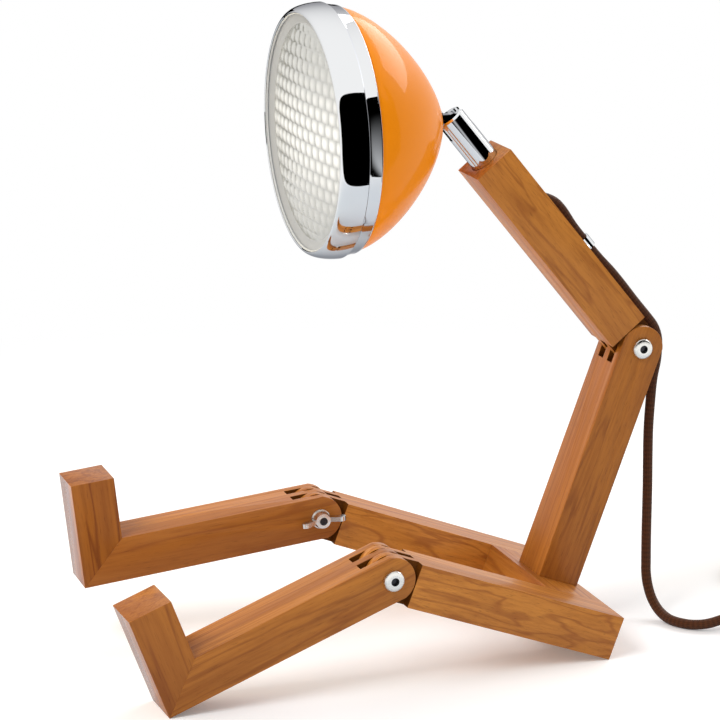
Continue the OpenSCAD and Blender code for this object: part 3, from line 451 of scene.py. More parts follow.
def grid_faces(rows, columns, wrap_rows, wrap_columns):
    """The quads of a grid of rows by columns points, each joined to the next row and column."""
    r = np.arange(rows if wrap_rows else rows - 1)[:, None]
    c = np.arange(columns if wrap_columns else columns - 1)[None, :]
    r2, c2 = (r + 1) % rows, (c + 1) % columns
    quads = np.stack([r * columns + c, r * columns + c2, r2 * columns + c2, r2 * columns + c], axis=-1)
    return quads.reshape(-1, 4)


def tube_faces(rows, columns):
    """The quads of a tube and the two faces that close its ends."""
    last = (rows - 1) * columns
    ends = [list(range(columns)), list(range(last + columns - 1, last - 1, -1))]
    return grid_faces(rows, columns, False, True).tolist() + ends


def placed(name, data):
    made = bpy.data.objects.new(name, data)
    bpy.context.scene.collection.objects.link(made)
    return made


def angles(steps):
    return np.linspace(0, 2 * np.pi, steps, endpoint=False)


def new_piece(name, points, faces, body, material, sharp):
    """A mesh object from whole arrays, smooth up to sharp degrees, which rides on a body."""
    mesh = bpy.data.meshes.new(name)
    mesh.from_pydata(np.asarray(points, float).reshape(-1, 3).tolist(), [], [list(f) for f in faces])
    mesh.materials.append(material)
    mesh.update()
    piece = placed(name, mesh)
    mesh.polygons.foreach_set("use_smooth", np.ones(len(mesh.polygons), bool))
    mesh.set_sharp_from_angle(angle=math.radians(sharp))
    if body:
        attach(piece, body)
    return piece


def head_points(x, up, out):
    """Points from the tilt pin: x across the head, up in it, and out along its axis."""
    return TILT_PIN + x[..., None] * X_AXIS + up[..., None] * HEAD_UP + out[..., None] * HEAD_OUT


def revolve(profile, steps):
    """A closed profile of (radius, distance out) turned about the head's axis.

    Each point of it goes to r (cos t, sin t) at each angle t.
    """
    r, out = np.asarray(profile, float).T
    t = angles(steps)[:, None]
    points = head_points(r * np.cos(t), r * np.sin(t), np.broadcast_to(out, (steps, len(out))))
    return points, grid_faces(steps, len(r), True, True)


def between(t, start, end, a, b):
    """From a at t = start to b at t = end, in a straight line."""
    return (end - t) / (end - start) * a + (t - start) / (end - start) * b


def smooth_path(points, spacing, steps=24, fewest=8):
    """A centripetal Catmull-Rom curve through the points, resampled at an even spacing."""
    p = np.asarray(points, float)
    p = np.vstack([2 * p[0] - p[1], p, 2 * p[-1] - p[-2]])
    fine = []
    for i in range(1, len(p) - 2):
        a, b, c, d = p[i - 1], p[i], p[i + 1], p[i + 2]
        k = np.cumsum([0, *[math.sqrt(np.linalg.norm(v)) for v in (b - a, c - b, d - c)]])
        t = np.linspace(k[1], k[2], steps, endpoint=False)[:, None]
        low, mid = between(t, k[0], k[1], a, b), between(t, k[1], k[2], b, c)
        top = between(t, k[2], k[3], c, d)
        left, right = between(t, k[0], k[2], low, mid), between(t, k[1], k[3], mid, top)
        fine.append(between(t, k[1], k[2], left, right))
    fine = np.vstack([*fine, p[-2][None]])
    run = np.concatenate([[0], np.cumsum(np.linalg.norm(np.diff(fine, axis=0), axis=1))])
    even = np.linspace(0, run[-1], max(fewest, int(run[-1] / spacing)) + 1)
    return np.stack([np.interp(even, run, fine[:, k]) for k in range(3)], axis=1)


def frames_along(path):
    """Two unit vectors across the path at each point, carried along it without twist."""
    tangent = np.gradient(path, axis=0)
    tangent /= np.linalg.norm(tangent, axis=1)[:, None]
    side = np.empty_like(path)
    v = np.cross(tangent[0], [0.3, 0.2, 0.93])
    for i, t in enumerate(tangent):
        v = v - (v @ t) * t
        v /= np.linalg.norm(v)
        side[i] = v
    return side, np.cross(tangent, side)


# From a hinge's bolt: how far its sawn faces, which are darkened with painted shade, reach, and where the
# floors between its fingers begin
SHADED_CUT_REACH = 14 * MM
FLOOR_FROM = 12 * MM
WELD_WITHIN = 0.002 * MM
# The angles up to which faces are one flat face, and over which an edge is eased
FLAT_WITHIN = math.radians(0.5)
EASE_OVER = math.radians(40)


def mark_shaded_cut_faces(mesh, hinge, axis, out):
    """Marks the sawn faces of a hinge: the fingers' inner sides and the floors between them, which take the
    sawn material: less lacquer, and a dark tone that is painted shade in the slots.

    A face counts if it is near the bolt and looks along it, or looks at it from between the fingers.
    """
    count = len(mesh.polygons)
    centre, normal = np.empty(count * 3), np.empty(count * 3)
    mesh.polygons.foreach_get("center", centre)
    mesh.polygons.foreach_get("normal", normal)
    centre = centre.reshape(-1, 3) - hinge
    normal = normal.reshape(-1, 3)
    across = centre @ axis
    ahead = centre @ out
    near = (np.abs(ahead) < SHADED_CUT_REACH) & (np.abs(across) < BAR_W / 2 - 0.5 * MM)
    sides = near & (np.abs(normal @ axis) > 0.95)
    floors = near & (normal @ out < -0.9) & (ahead > FLOOR_FROM)
    # Material 1 is the sawn wood: little lacquer, and darkened as painted shade between the fingers.
    mesh.polygons.foreach_set("material_index", (sides | floors).astype(np.int32))


def eased(node, material, hinge=None):
    """A merged copy of a CAD node with eased edges, which stands for it."""
    source = NODES[node]
    mesh = source.data.copy()
    mesh.materials.clear()
    mesh.materials.append(material)
    piece = placed(node + "_eased", mesh)
    weld = piece.modifiers.new("Weld", "WELD")
    weld.merge_threshold = WELD_WITHIN
    flat = piece.modifiers.new("Flat", "DECIMATE")
    flat.decimate_type = "DISSOLVE"
    flat.angle_limit = FLAT_WITHIN
    depsgraph = bpy.context.evaluated_depsgraph_get()
    welded = bpy.data.meshes.new_from_object(piece.evaluated_get(depsgraph))
    piece.modifiers.clear()
    piece.data = welded
    welded.name = node + "_eased"
    # With a hinge, the sawn faces take the sawn material, whose dark tone is painted shade in the slots.
    if hinge:
        welded.materials.append(MATERIALS["sawn"])
        mark_shaded_cut_faces(welded, *hinge)
    ease = piece.modifiers.new("Ease", "BEVEL")
    ease.width = bpy.context.scene.lamp_timber.edge
    ease.segments = 2
    ease.limit_method = "ANGLE"
    ease.angle_limit = EASE_OVER
    ease.harden_normals = True
    welded.polygons.foreach_set("use_smooth", np.ones(len(welded.polygons), bool))
    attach(piece, source["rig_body"])
    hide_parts(node)
    return piece


# ---- stage ----

# The camera and the point it looks at, with y from the seat's back edge
CAMERA_AT = (1.58904, -0.67897, 0.59227)
TARGET_AT = (-0.00294, -0.11887, 0.1625)
CAMERA_ROLL = math.radians(-0.12)
# The floor, and the distances over which it goes into white
FLOOR = [(-4.0, -4.0, 0.0), (4.0, -4.0, 0.0), (4.0, 4.0, 0.0), (-4.0, 4.0, 0.0)]
FLOOR_FADE = (0.3, 0.75)
# Dark cards that only mirrors see: x, and their corners in y and z
FLAGS = {
    "flag_left": (0.16, [(-0.5, 0.193), (0.42, 0.193), (0.42, 0.52),
                         (0.27, 0.52), (0.25, 0.41), (-0.5, 0.41)]),
    "flag_right": (-0.125, [(-0.07, 0.24), (0.03, 0.24), (0.03, 0.37), (-0.07, 0.37)]),
}
# The left card's pale band: where it comes and goes in y, and fades in z
BAND_FRONT = (0.03, 0.07)
BAND_REAR = (0.072, 0.09)
BAND_TOP = (0.2, 0.36)
LAMPS_LOOK_AT = (0, 0, 0.15)


def where_seen(tree):
    """1 for the rays of the camera, mirrors and glass, and 0 for all others."""
    path = add(tree, "LightPath").outputs
    seen = maths(tree, "MAXIMUM", path["Is Camera Ray"], path["Is Glossy Ray"])
    return maths(tree, "MAXIMUM", seen, path["Is Transmission Ray"])


def stage_card(name, corners, material, glossy_only=False):
    """A flat card of the studio, which can be kept for mirrors alone."""
    mesh = bpy.data.meshes.new(name)
    mesh.from_pydata(corners, [], [range(len(corners))])
    mesh.materials.append(material)
    card = placed(name, mesh)
    if glossy_only:
        for rays in ("camera", "diffuse", "shadow", "transmission"):
            setattr(card, "visible_" + rays, False)


def area_lamp(name, at, size, power, tint=(1, 1, 1), mirrored=True):
    """A soft lamp that looks at the figure. Mirrors and glass show it if mirrored is set."""
    data = bpy.data.lights.new(name, "AREA")
    data.shape = "RECTANGLE"
    data.size, data.size_y = size
    data.energy = power
    data.color = tint
    lamp = placed(name, data)
    lamp.location = at
    lamp.rotation_euler = (Vector(LAMPS_LOOK_AT) - Vector(at)).to_track_quat("-Z", "Y").to_euler()
    lamp.visible_glossy = mirrored
    lamp.visible_transmission = mirrored


class LAMP_OT_stage(bpy.types.Operator):
    """Camera, floor, soft lamps and dark flags"""
    bl_idname = "lamp.stage"
    bl_label = "Stage"

    def execute(self, context):
        scene = context.scene
        settings = scene.lamp_stage
        data = bpy.data.cameras.new("Camera")
        data.lens = settings.lens
        data.sensor_width = 36
        camera = placed("Camera", data)
        at, target = (Vector((x, SEAT_Y + y, z)) for x, y, z in (CAMERA_AT, TARGET_AT))
        back = (at - target).normalized()
        right = Vector((0, 0, 1)).cross(back).normalized()
        turn = Matrix([right, back.cross(right), back]).transposed()
        turn = turn @ Matrix.Rotation(CAMERA_ROLL, 3, "Z")
        camera.matrix_world = Matrix.Translation(at) @ turn.to_4x4()
        scene.camera = camera
        scene.view_settings.view_transform = "Standard"

        world = bpy.data.worlds.new("Studio")
        scene.world = world
        world.use_nodes = True
        tree = world.node_tree
        tree.nodes.clear()
        strength = add(tree, "Mix", {0: where_seen(tree), 2: settings.sky, 3: 1.0},
                       data_type="FLOAT").outputs[0]
        sky = add(tree, "Background", {"Color": (1, 1, 1), "Strength": strength})
        add(tree, "OutputWorld", {"Surface": sky.outputs[0]})

        floor, tree = new_material("Floor")
        mirrored = add(tree, "LightPath").outputs["Is Glossy Ray"]
        shade = blend_colour(tree, mirrored, (0.93, 0.93, 0.93), (0.62, 0.66, 0.71))
        plain = add(tree, "BsdfDiffuse", {"Color": shade})
        glow = emission(tree, (1, 1, 1), ramp(tree, mirrored, 0.0, 1.0, 0.14, 0.0))
        lifted = add(tree, "AddShader", {0: plain.outputs[0], 1: glow})
        away = vector_maths(tree, "LENGTH", object_coords(tree))["Value"]
        faded = add(tree, "MixShader", {
            0: ramp(tree, away, *FLOOR_FADE), 1: lifted.outputs[0], 2: emission(tree, (1, 1, 1), 1.0)})
        mixed = add(tree, "MixShader", {
            0: where_seen(tree), 1: plain.outputs[0], 2: faded.outputs[0]})
        add(tree, "OutputMaterial", {"Surface": mixed.outputs[0]})
        stage_card("floor", FLOOR, floor)

        flag, tree = new_material("Black flag")
        place = add(tree, "SeparateXYZ", {0: object_coords(tree)}).outputs
        front = ramp(tree, place[1], *BAND_FRONT)
        rear = ramp(tree, place[1], *BAND_REAR, 1.0, 0.0)
        top = ramp(tree, place[2], *BAND_TOP, 0.55, 0.0)
        grey = maths(tree, "MULTIPLY", maths(tree, "MULTIPLY", front, top), rear)
        add(tree, "OutputMaterial", {"Surface": emission(tree, (0.95, 0.97, 1.0), grey)})
        for name, (x, corners) in FLAGS.items():
            stage_card(name, [(x, y, z) for y, z in corners], flag, True)

        area_lamp("key", at=(0.5, -1.35, 1.75), size=(1.3, 1.0), power=settings.key, mirrored=False)
        area_lamp("back", at=(-0.75, 1.25, 1.1), size=(1.5, 0.75), power=settings.back)
        area_lamp("fill", at=(-0.8, -1.7, 0.45), size=(1.0, 0.7), power=settings.fill,
                  tint=(1.0, 0.84, 0.52), mirrored=False)
        return {"FINISHED"}


# ---- cord ----

# Routes of the cord's centre, in mm. Down the torso's back: height over it, and distance up from the waist
BACK_ROUTE = [(2, 98.8), (3, 96.6), (3.7, 94.3), (4, 91.6), (4, 88), (3.6, 83.5), (3.1, 79), (2.9, 74.5),
              (2.9, 69.5), (2.9, 60), (3.2, 51), (3.9, 41), (4, 30), (3.8, 19)]
# Round the waist: distance behind and above its bolt
WAIST_ROUTE = [(11, 12), (13.3, 8.8), (14.9, 5.2), (15.9, 1.4), (16.1, -2.6), (15.6, -11)]
# Down to the floor and into the switch: x, distance behind the seat's back edge, height
DROP_ROUTE = [(0, 55, 138), (0, 53.8, 124), (0, 53, 108), (0.2, 52.9, 92), (0.8, 52.8, 76),
              (1.6, 52.4, 60), (2.8, 51.8, 44), (4.2, 51.3, 32), (5, 51.1, 25), (6.6, 51.5, 18),
              (10.4, 52.4, 11), (16.2, 53.8, 5.9), (21.6, 55.2, 3.6), (27.5, 56.6, 2.8),
              (34.5, 59.6, 2.8), (40.2, 64.8, 3), (43.8, 71.5, 3.9), (45, 79, 5.6), (45, 86, 7.4),
              (45, 92, 8.5), (45, 97, 8.5), (45, 116, 8.5)]
# Out of the switch to the coil, and from the coil to the plug
LEAD_ROUTE = [(45, 162, 8.5), (45, 181, 8.5), (45, 186, 8.5), (44.2, 192.2, 8.1), (41.8, 198, 7),
              (38, 203, 5.6), (33, 206.8, 4.2), (27.2, 209.2, 3.1), (21, 210, 2.8), (9, 209.8, 2.8),
              (-3.6, 208, 2.8), (-14, 206.3, 2.8)]
TAIL_ROUTE = [(1.3, 194, 8.8), (-4.6, 204, 9.3), (-9.2, 212.2, 9), (-12.6, 217.8, 8.4),
              (-17.8, 223.4, 7.5), (-24.4, 227.4, 6.9), (-32, 229, 6.75), (-42, 229, 6.75)]
# The coil's centre, the angle it is entered at, and its points in a turn
COIL_AT = (-28, 165)
COIL_START = math.pi / 2
COIL_STEPS = 28
# In turns: how long the climb to the upper layer is, and how much sooner the cord leaves that layer
CLIMB_TURNS = 0.3
EARLY_TURNS = 1 / 6
# The upper layer's height over the lower one, in diameters
LAYER_LIFT = 0.97
# The torso's length over the waist, and the cord's exit hole: its drop from the torso's top, its
# slope, and the cord's points on its axis
TORSO_LEN = 141.6
EXIT_DROP = 39.6
EXIT_SLOPE = math.radians(35)
EXIT_POINTS = (-7, 1.5)
# The switch's axis in x and z, and its sleeves' length, end radii and grip on the cord
SWITCH_MID = (45, 8.5)
SLEEVE_LEN = 20
SLEEVE_R = (5.0, 3.8)
SLEEVE_GRIP = 0.1
# A strain relief's ribs and grooves, and where in a rib's pitch its top ends and the groove's floor is
RIBS = 6
GROOVE_DEPTH = 0.425
RIB_END, GROOVE_FROM, GROOVE_TO = 0.68, 0.74, 0.94


def on_surface(points):
    """Places for (x, distance behind the seat's back edge, height) in mm."""
    return np.array(points, float) * MM + [0, SEAT_Y, 0]


def on_torso(height, along):
    """A point over the torso's back face."""
    return WAIST + along * MM * TORSO_UP + (BAR_H / 2 + height * MM) * TORSO_BACK


def hung_route():
    """From inside the exit hole down the torso's back, round the waist and down to the switch."""
    def on_exit(d):
        return on_torso(d * math.sin(EXIT_SLOPE), TORSO_LEN - EXIT_DROP - d * math.cos(EXIT_SLOPE))
    behind = [WAIST + np.array([0, y, z]) * MM for y, z in WAIST_ROUTE]
    return np.vstack([[on_exit(d) for d in EXIT_POINTS], [on_torso(h, a) for h, a in BACK_ROUTE],
                      behind, on_surface(DROP_ROUTE)])


def coil_route():
    """In along the floor on a spiral, up at its inner end, and out again on top.

    Its radius is wide - d * turns on the way in, and grows by d a turn on the way out.
    """
    settings = bpy.context.scene.lamp_cord
    d = settings.diameter
    turns = settings.coil_turns
    wide = settings.coil_d / 2 + d * turns / 2
    down = np.linspace(0, turns, int(turns * COIL_STEPS) + 1)
    up = np.arange(1, int((turns - EARLY_TURNS) * COIL_STEPS) + 1) / COIL_STEPS
    climb = np.clip(up / CLIMB_TURNS, 0, 1)
    angle = np.concatenate([COIL_START + 2 * np.pi * down, COIL_START + 2 * np.pi * (turns + up)])
    radius = np.concatenate([wide - d * down, wide - d * turns + d * up])
    lifted = d / 2 + LAYER_LIFT * d * climb ** 2 * (3 - 2 * climb)
    height = np.concatenate([np.full(len(down), d / 2), lifted])
    centre = on_surface([(*COIL_AT, 0)])[0]
    return centre + np.stack([radius * np.cos(angle), radius * np.sin(angle), height], axis=1)


def cord_piece(name, route, diameter, body):
    """A round tube along the route: point = centre + r (cos t side + sin t across).

    Its UV counts the braid's threads round the cord and its turns along it.
    """
    sides, spacing, threads, pitch = 20, 2.4 * MM, 8, 5.2 * MM
    path = smooth_path(route, spacing)
    side, across = frames_along(path)
    t = angles(sides)
    ring = np.cos(t)[None, :, None] * side[:, None] + np.sin(t)[None, :, None] * across[:, None]
    points = path[:, None] + diameter / 2 * ring
    faces = tube_faces(len(path), sides)
    piece = new_piece(name, points, faces, body, MATERIALS["braid"], sharp=60)
    row, column = np.divmod(np.array(faces[:-2])[:, :1], sides)
    u = (column + [0, 1, 1, 0]) / sides * threads
    v = (row + [0, 0, 1, 1]) * spacing / pitch
    uv = np.concatenate([np.stack([u, v], axis=-1).ravel(), np.zeros(4 * sides)])
    piece.data.uv_layers.new(name="Braid").data.foreach_set("uv", uv)
    return piece, path


def rounded(t, half_w, half_h, n):
    """Points at angles t on the superellipse |x/half_w|^n + |z/half_h|^n = 1."""
    x = half_w * np.sign(np.cos(t)) * np.abs(np.cos(t)) ** (2 / n)
    z = half_h * np.sign(np.sin(t)) * np.abs(np.sin(t)) ** (2 / n)
    return x, z


def tie_piece(diameter):
    """A soft strap round the coil's section: a superellipse |x/a|^n + |z/b|^n = 1 along the coil."""
    steps, rows, squareness = 64, 7, 3.4
    half_len, wall, lift, room_w, room_h = 5 * MM, 0.8 * MM, 0.05 * MM, 0.9 * MM, 0.55 * MM
    settings = bpy.context.scene.lamp_cord
    half_w = diameter * (settings.coil_turns + 1) / 2 + room_w
    half_h = diameter + room_h
    centre = on_surface([(*COIL_AT, 0)])[0] + [-settings.coil_d / 2, 0, half_h + lift]
    t = angles(steps)
    x, z = rounded(t, half_w, half_h, squareness)
    length = np.linspace(-half_len, half_len, rows)[:, None]
    outer = np.stack(np.broadcast_arrays(x, length, z), axis=-1)
    shrink = np.array([1 - wall / half_w, 1, 1 - wall / half_h])
    loop = np.concatenate([outer, (outer * shrink)[::-1]])
    return new_piece("cord_tie", centre + loop, grid_faces(2 * rows, steps, True, True),
                     ROOT_BODY, MATERIALS["black"], sharp=50)


def ribbed(end, first, last):
    """A ribbed strain relief that tapers from first to last: distance along it and radius, in mm."""
    edges = np.linspace(0, end, RIBS + 1)
    radius = np.interp(edges, [0, end], [first, last])
    rows = []
    for k in range(RIBS):
        a, pitch = edges[k], edges[k + 1] - edges[k]
        rows += [(a, radius[k]), (a + RIB_END * pitch, radius[k] + 0.5 * (radius[k + 1] - radius[k]))]
        if k < RIBS - 1:
            floor = radius[k] - GROOVE_DEPTH
            rows += [(a + GROOVE_FROM * pitch, floor), (a + GROOVE_TO * pitch, floor)]
    return rows + [(end, last)]


def sleeve_piece(name, mouth, sign):
    """A strain relief turned about the cord: (r cos t, r sin t) at each distance from the mouth."""
    grip_r = bpy.context.scene.lamp_cord.diameter / 2 / MM - SLEEVE_GRIP
    s = np.array([(0, grip_r), *ribbed(SLEEVE_LEN, *SLEEVE_R), (SLEEVE_LEN, grip_r)])
    steps = 40
    t = angles(steps)
    x = SWITCH_MID[0] + s[:, 1:] * np.cos(t)
    z = SWITCH_MID[1] + s[:, 1:] * np.sin(t) * -sign
    y = np.broadcast_to(mouth + sign * s[:, :1], x.shape)
    points = np.stack([x, y, z], axis=-1) * MM + [0, SEAT_Y, 0]
    faces = grid_faces(len(s), steps, True, True)
    return new_piece(name, points, faces, ROOT_BODY, MATERIALS["brown"], sharp=35)


def plug_piece():
    """A moulded plug: superellipses |y/a|^n + |z/b|^n = 1 lofted from its ribbed relief to its face."""
    steps = 56
    end = on_surface([TAIL_ROUTE[-1]])[0]
    relief = [(s, r, r, 2) for s, r in ribbed(end=22, first=3.8, last=5.4)]
    # Along the plug: distance, half width, half height, squareness
    moulding = [(26, 8.2, 5.8, 2.2), (31, 13.4, 6.3, 2.5), (35, 16.1, 6.65, 2.8), (40, 17.2, 6.75, 3),
                (58.6, 17.5, 6.75, 3), (59.7, 17.1, 6.4, 3), (60, 16.4, 5.8, 3)]
    s = np.array([(0, 2.7, 2.7, 2), *relief, *moulding], float)
    t = angles(steps)
    y, z = rounded(t, s[:, 1:2], s[:, 2:3], s[:, 3:4])
    x = np.broadcast_to(-s[:, 0:1], y.shape)
    points = np.stack([x, y, z], axis=-1) * MM + end
    piece = new_piece("plug_moulding", points, tube_faces(len(s), steps),
                      ROOT_BODY, MATERIALS["brown"], sharp=40)
    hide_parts("plug_body")
    return piece


class LAMP_OT_cord(bpy.types.Operator):
    """The cord in two stretches, before and after the switch's halves, with its tie and its plug"""
    bl_idname = "lamp.cord"
    bl_label = "Cord"

    def execute(self, context):
        d = context.scene.lamp_cord.diameter
        hung, path = cord_piece("cord_hung", hung_route(), d, None)
        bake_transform(hung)
        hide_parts("cord_back", "cord_waist", "cord_drop")
        sleeves = [sleeve_piece("sleeve_in", SWITCH_ENDS[0], -1),
                   sleeve_piece("sleeve_out", SWITCH_ENDS[1], 1)]
        for sleeve in sleeves:
            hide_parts("switch_sleeves")
        halves = [eased(n, MATERIALS["brown"]) for n in ("switch_base", "switch_cover")]
        lead = np.vstack([on_surface(LEAD_ROUTE), coil_route(), on_surface(TAIL_ROUTE)])
        coiled, path = cord_piece("cord_coiled", lead, d, ROOT_BODY)
        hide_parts("cord_lead", "cord_coil", "cord_tail")
        plug_piece()
        tie_piece(d)
        return {"FINISHED"}


# ---- timber ----

# Each leg's side, bend, seed, shin's tone, and its foot's tone, warmth and streaks
LEGS = {
    "left": (1, 41.4, 3.0, 0.86, (0.85, 0.5, 1.0)),
    "right": (-1, 26.8, 8.0, 0.98, (0.7, 1.1, 1.3)),
}
SHIN_SEED, FOOT_SEED = 1.7, 4.1


class LAMP_OT_timber(bpy.types.Operator):
    """The timber bars, each with its own grain, and their dowels"""
    bl_idname = "lamp.timber"
    bl_label = "Timber"

    def execute(self, context):
        # The hinges' sawn faces: little lacquer, and a tone of 0.22 that is painted shade in the slots
        # between the fingers.
        MATERIALS["sawn"] = wood("Sawn wood with painted shade", WAIST, X_AXIS, SEAT_UP, tone=0.22, warm=1.0, seed=6.0,
                                 streaks=0.6, gloss=0.2)
        for word, (side, bend, seed, shin_tone, (foot_tone, foot_warm, foot_streaks)) in LEGS.items():
            knee, axis = joint_at(word + "_knee"), joint_axis(word + "_knee")
            out = np.cross(SEAT_UP, -axis)
            shin = turned(out, axis, bend)
            toe = -np.cross(shin, axis)
            thigh_wood = wood(word + " thigh wood", knee, out, axis, tone=1.06,
                              slant=(0.0, 0.075 * side), seed=seed)
            shin_wood = wood(word + " shin wood", knee, shin, axis, tone=shin_tone, warm=0.4,
                             slant=(0.02, 0.03 * side), seed=seed + SHIN_SEED, streaks=0.9)
            foot_wood = wood(word + " foot wood", knee, toe, axis, tone=foot_tone, warm=foot_warm,
                             slant=(0.0, -0.02), seed=seed + FOOT_SEED, streaks=foot_streaks, polished=shin)
            eased(word + "_thigh", thigh_wood, hinge=(knee, axis, -out))
            eased(word + "_shin", shin_wood, hinge=(knee, axis, shin))
            eased(word + "_foot", foot_wood)
        block_wood = wood("Seat block wood", (0, SEAT_Y, 0), X_AXIS, -np.cross(X_AXIS, SEAT_UP), warm=0.2,
                          slant=(0.0, 0.02), seed=5.3)
        lower_wood = wood("Lower torso wood", WAIST, SEAT_UP, X_AXIS, tone=0.76, warm=0.7,
                          slant=(0.01, 0.03), seed=11.0, streaks=0.75)
        upper_wood = wood("Upper torso wood", WAIST, TORSO_UP, X_AXIS, warm=0.12,
                          slant=(0.0, 0.05), seed=14.0, streaks=0.8)
        eased("seat_block", block_wood)
        eased("lower_torso", lower_wood, hinge=(WAIST, X_AXIS, -SEAT_UP))
        eased("upper_torso", upper_wood, hinge=(WAIST, X_AXIS, TORSO_UP))
        beech = wood("Dowel wood", WAIST, X_AXIS, SEAT_UP, tone=1.2, seed=2.0, streaks=0.4)
        for node in ("seat_dowels", "left_foot_dowels", "right_foot_dowels"):
            dress(node, beech)
        return {"FINISHED"}


# ---- fittings ----


class LAMP_OT_fittings(bpy.types.Operator):
    """Hinge bolts, washers and wing nuts, the neck, the cord clip and all screws"""
    bl_idname = "lamp.fittings"
    bl_label = "Fittings"

    def execute(self, context):
        for word in ("waist", "left_knee", "right_knee"):
            dress(word + "_bolt", bolt_steel(word + " bolt steel", joint_at(word), joint_axis(word)))
            dress(word + "_washer", MATERIALS["bright"])
        for node in ("waist_wing_nut", "left_wing_nut", "right_wing_nut"):
            dress(node, MATERIALS["bright"])
        for node in ("neck_tube", "head_tongue", "cord_clip", "clip_screws"):
            dress(node, MATERIALS["chrome"])
        for node in ("torso_screws", "neck_set_screw", "tilt_pin", "rim_screw", "bracket_screws",
                     "holder_bracket", "switch_screws", "plug_pins"):
            dress(node, MATERIALS["steel"])
        dress("cord_bush", MATERIALS["black"])
        dress("stem_nut", MATERIALS["brass"])
        return {"FINISHED"}


# ---- lamp head ----

# The shell: its back's distance from the tilt pin, its flat end's radius, its hole's radius, its wall
SHELL_BACK = 8.3 * MM
SHELL_FLAT_R = 6.5 * MM
STEM_HOLE_R = 4.05 * MM
SHELL_WALL = 1.2 * MM
SHELL_STEPS = 144
# The rim: its band's depth and its own, the band's step, the rolled edge's radius, wall and gap
BAND_DEPTH = 14.5 * MM
RIM_DEPTH = 22.5 * MM
RIM_STEP = 0.6 * MM
RIM_ROLL = 0.35 * MM
RIM_WALL = 0.8 * MM
RIM_GAP = 0.2 * MM
RIM_STEPS = 160
# The lens: its thickness and its seal's, its dome, its prisms' height and the width they fade over,
# and how far up and down its painted glint reaches
LENS_T = 3 * MM
SEAL_T = 0.8 * MM
DOME_R = 58 * MM
LENS_RISE = 4.5 * MM
LENS_RECESS = 2.2 * MM
PILLOW_H = 0.8 * MM
FADE_W = 5 * MM
GLINT_REACH = 30 * MM


def flat_share(r):
    """The share of its depth at which a bowl of radius r has come down to its flat back."""
    power = bpy.context.scene.lamp_head.bowl_power
    return (1 - (SHELL_FLAT_R / r) ** power) ** (1 / power)


def bowl_profile(r, depth, front, steps=56):
    """From the bowl's front to its flat back: radius = r (1 - s^p)^(1/p) at a share s of its depth."""
    power = bpy.context.scene.lamp_head.bowl_power
    s = flat_share(r) * np.sin(np.linspace(0, np.pi / 2, steps)) ** 0.9
    return np.stack([r * np.maximum(1 - s ** power, 0) ** (1 / power), front - s * depth], axis=1)


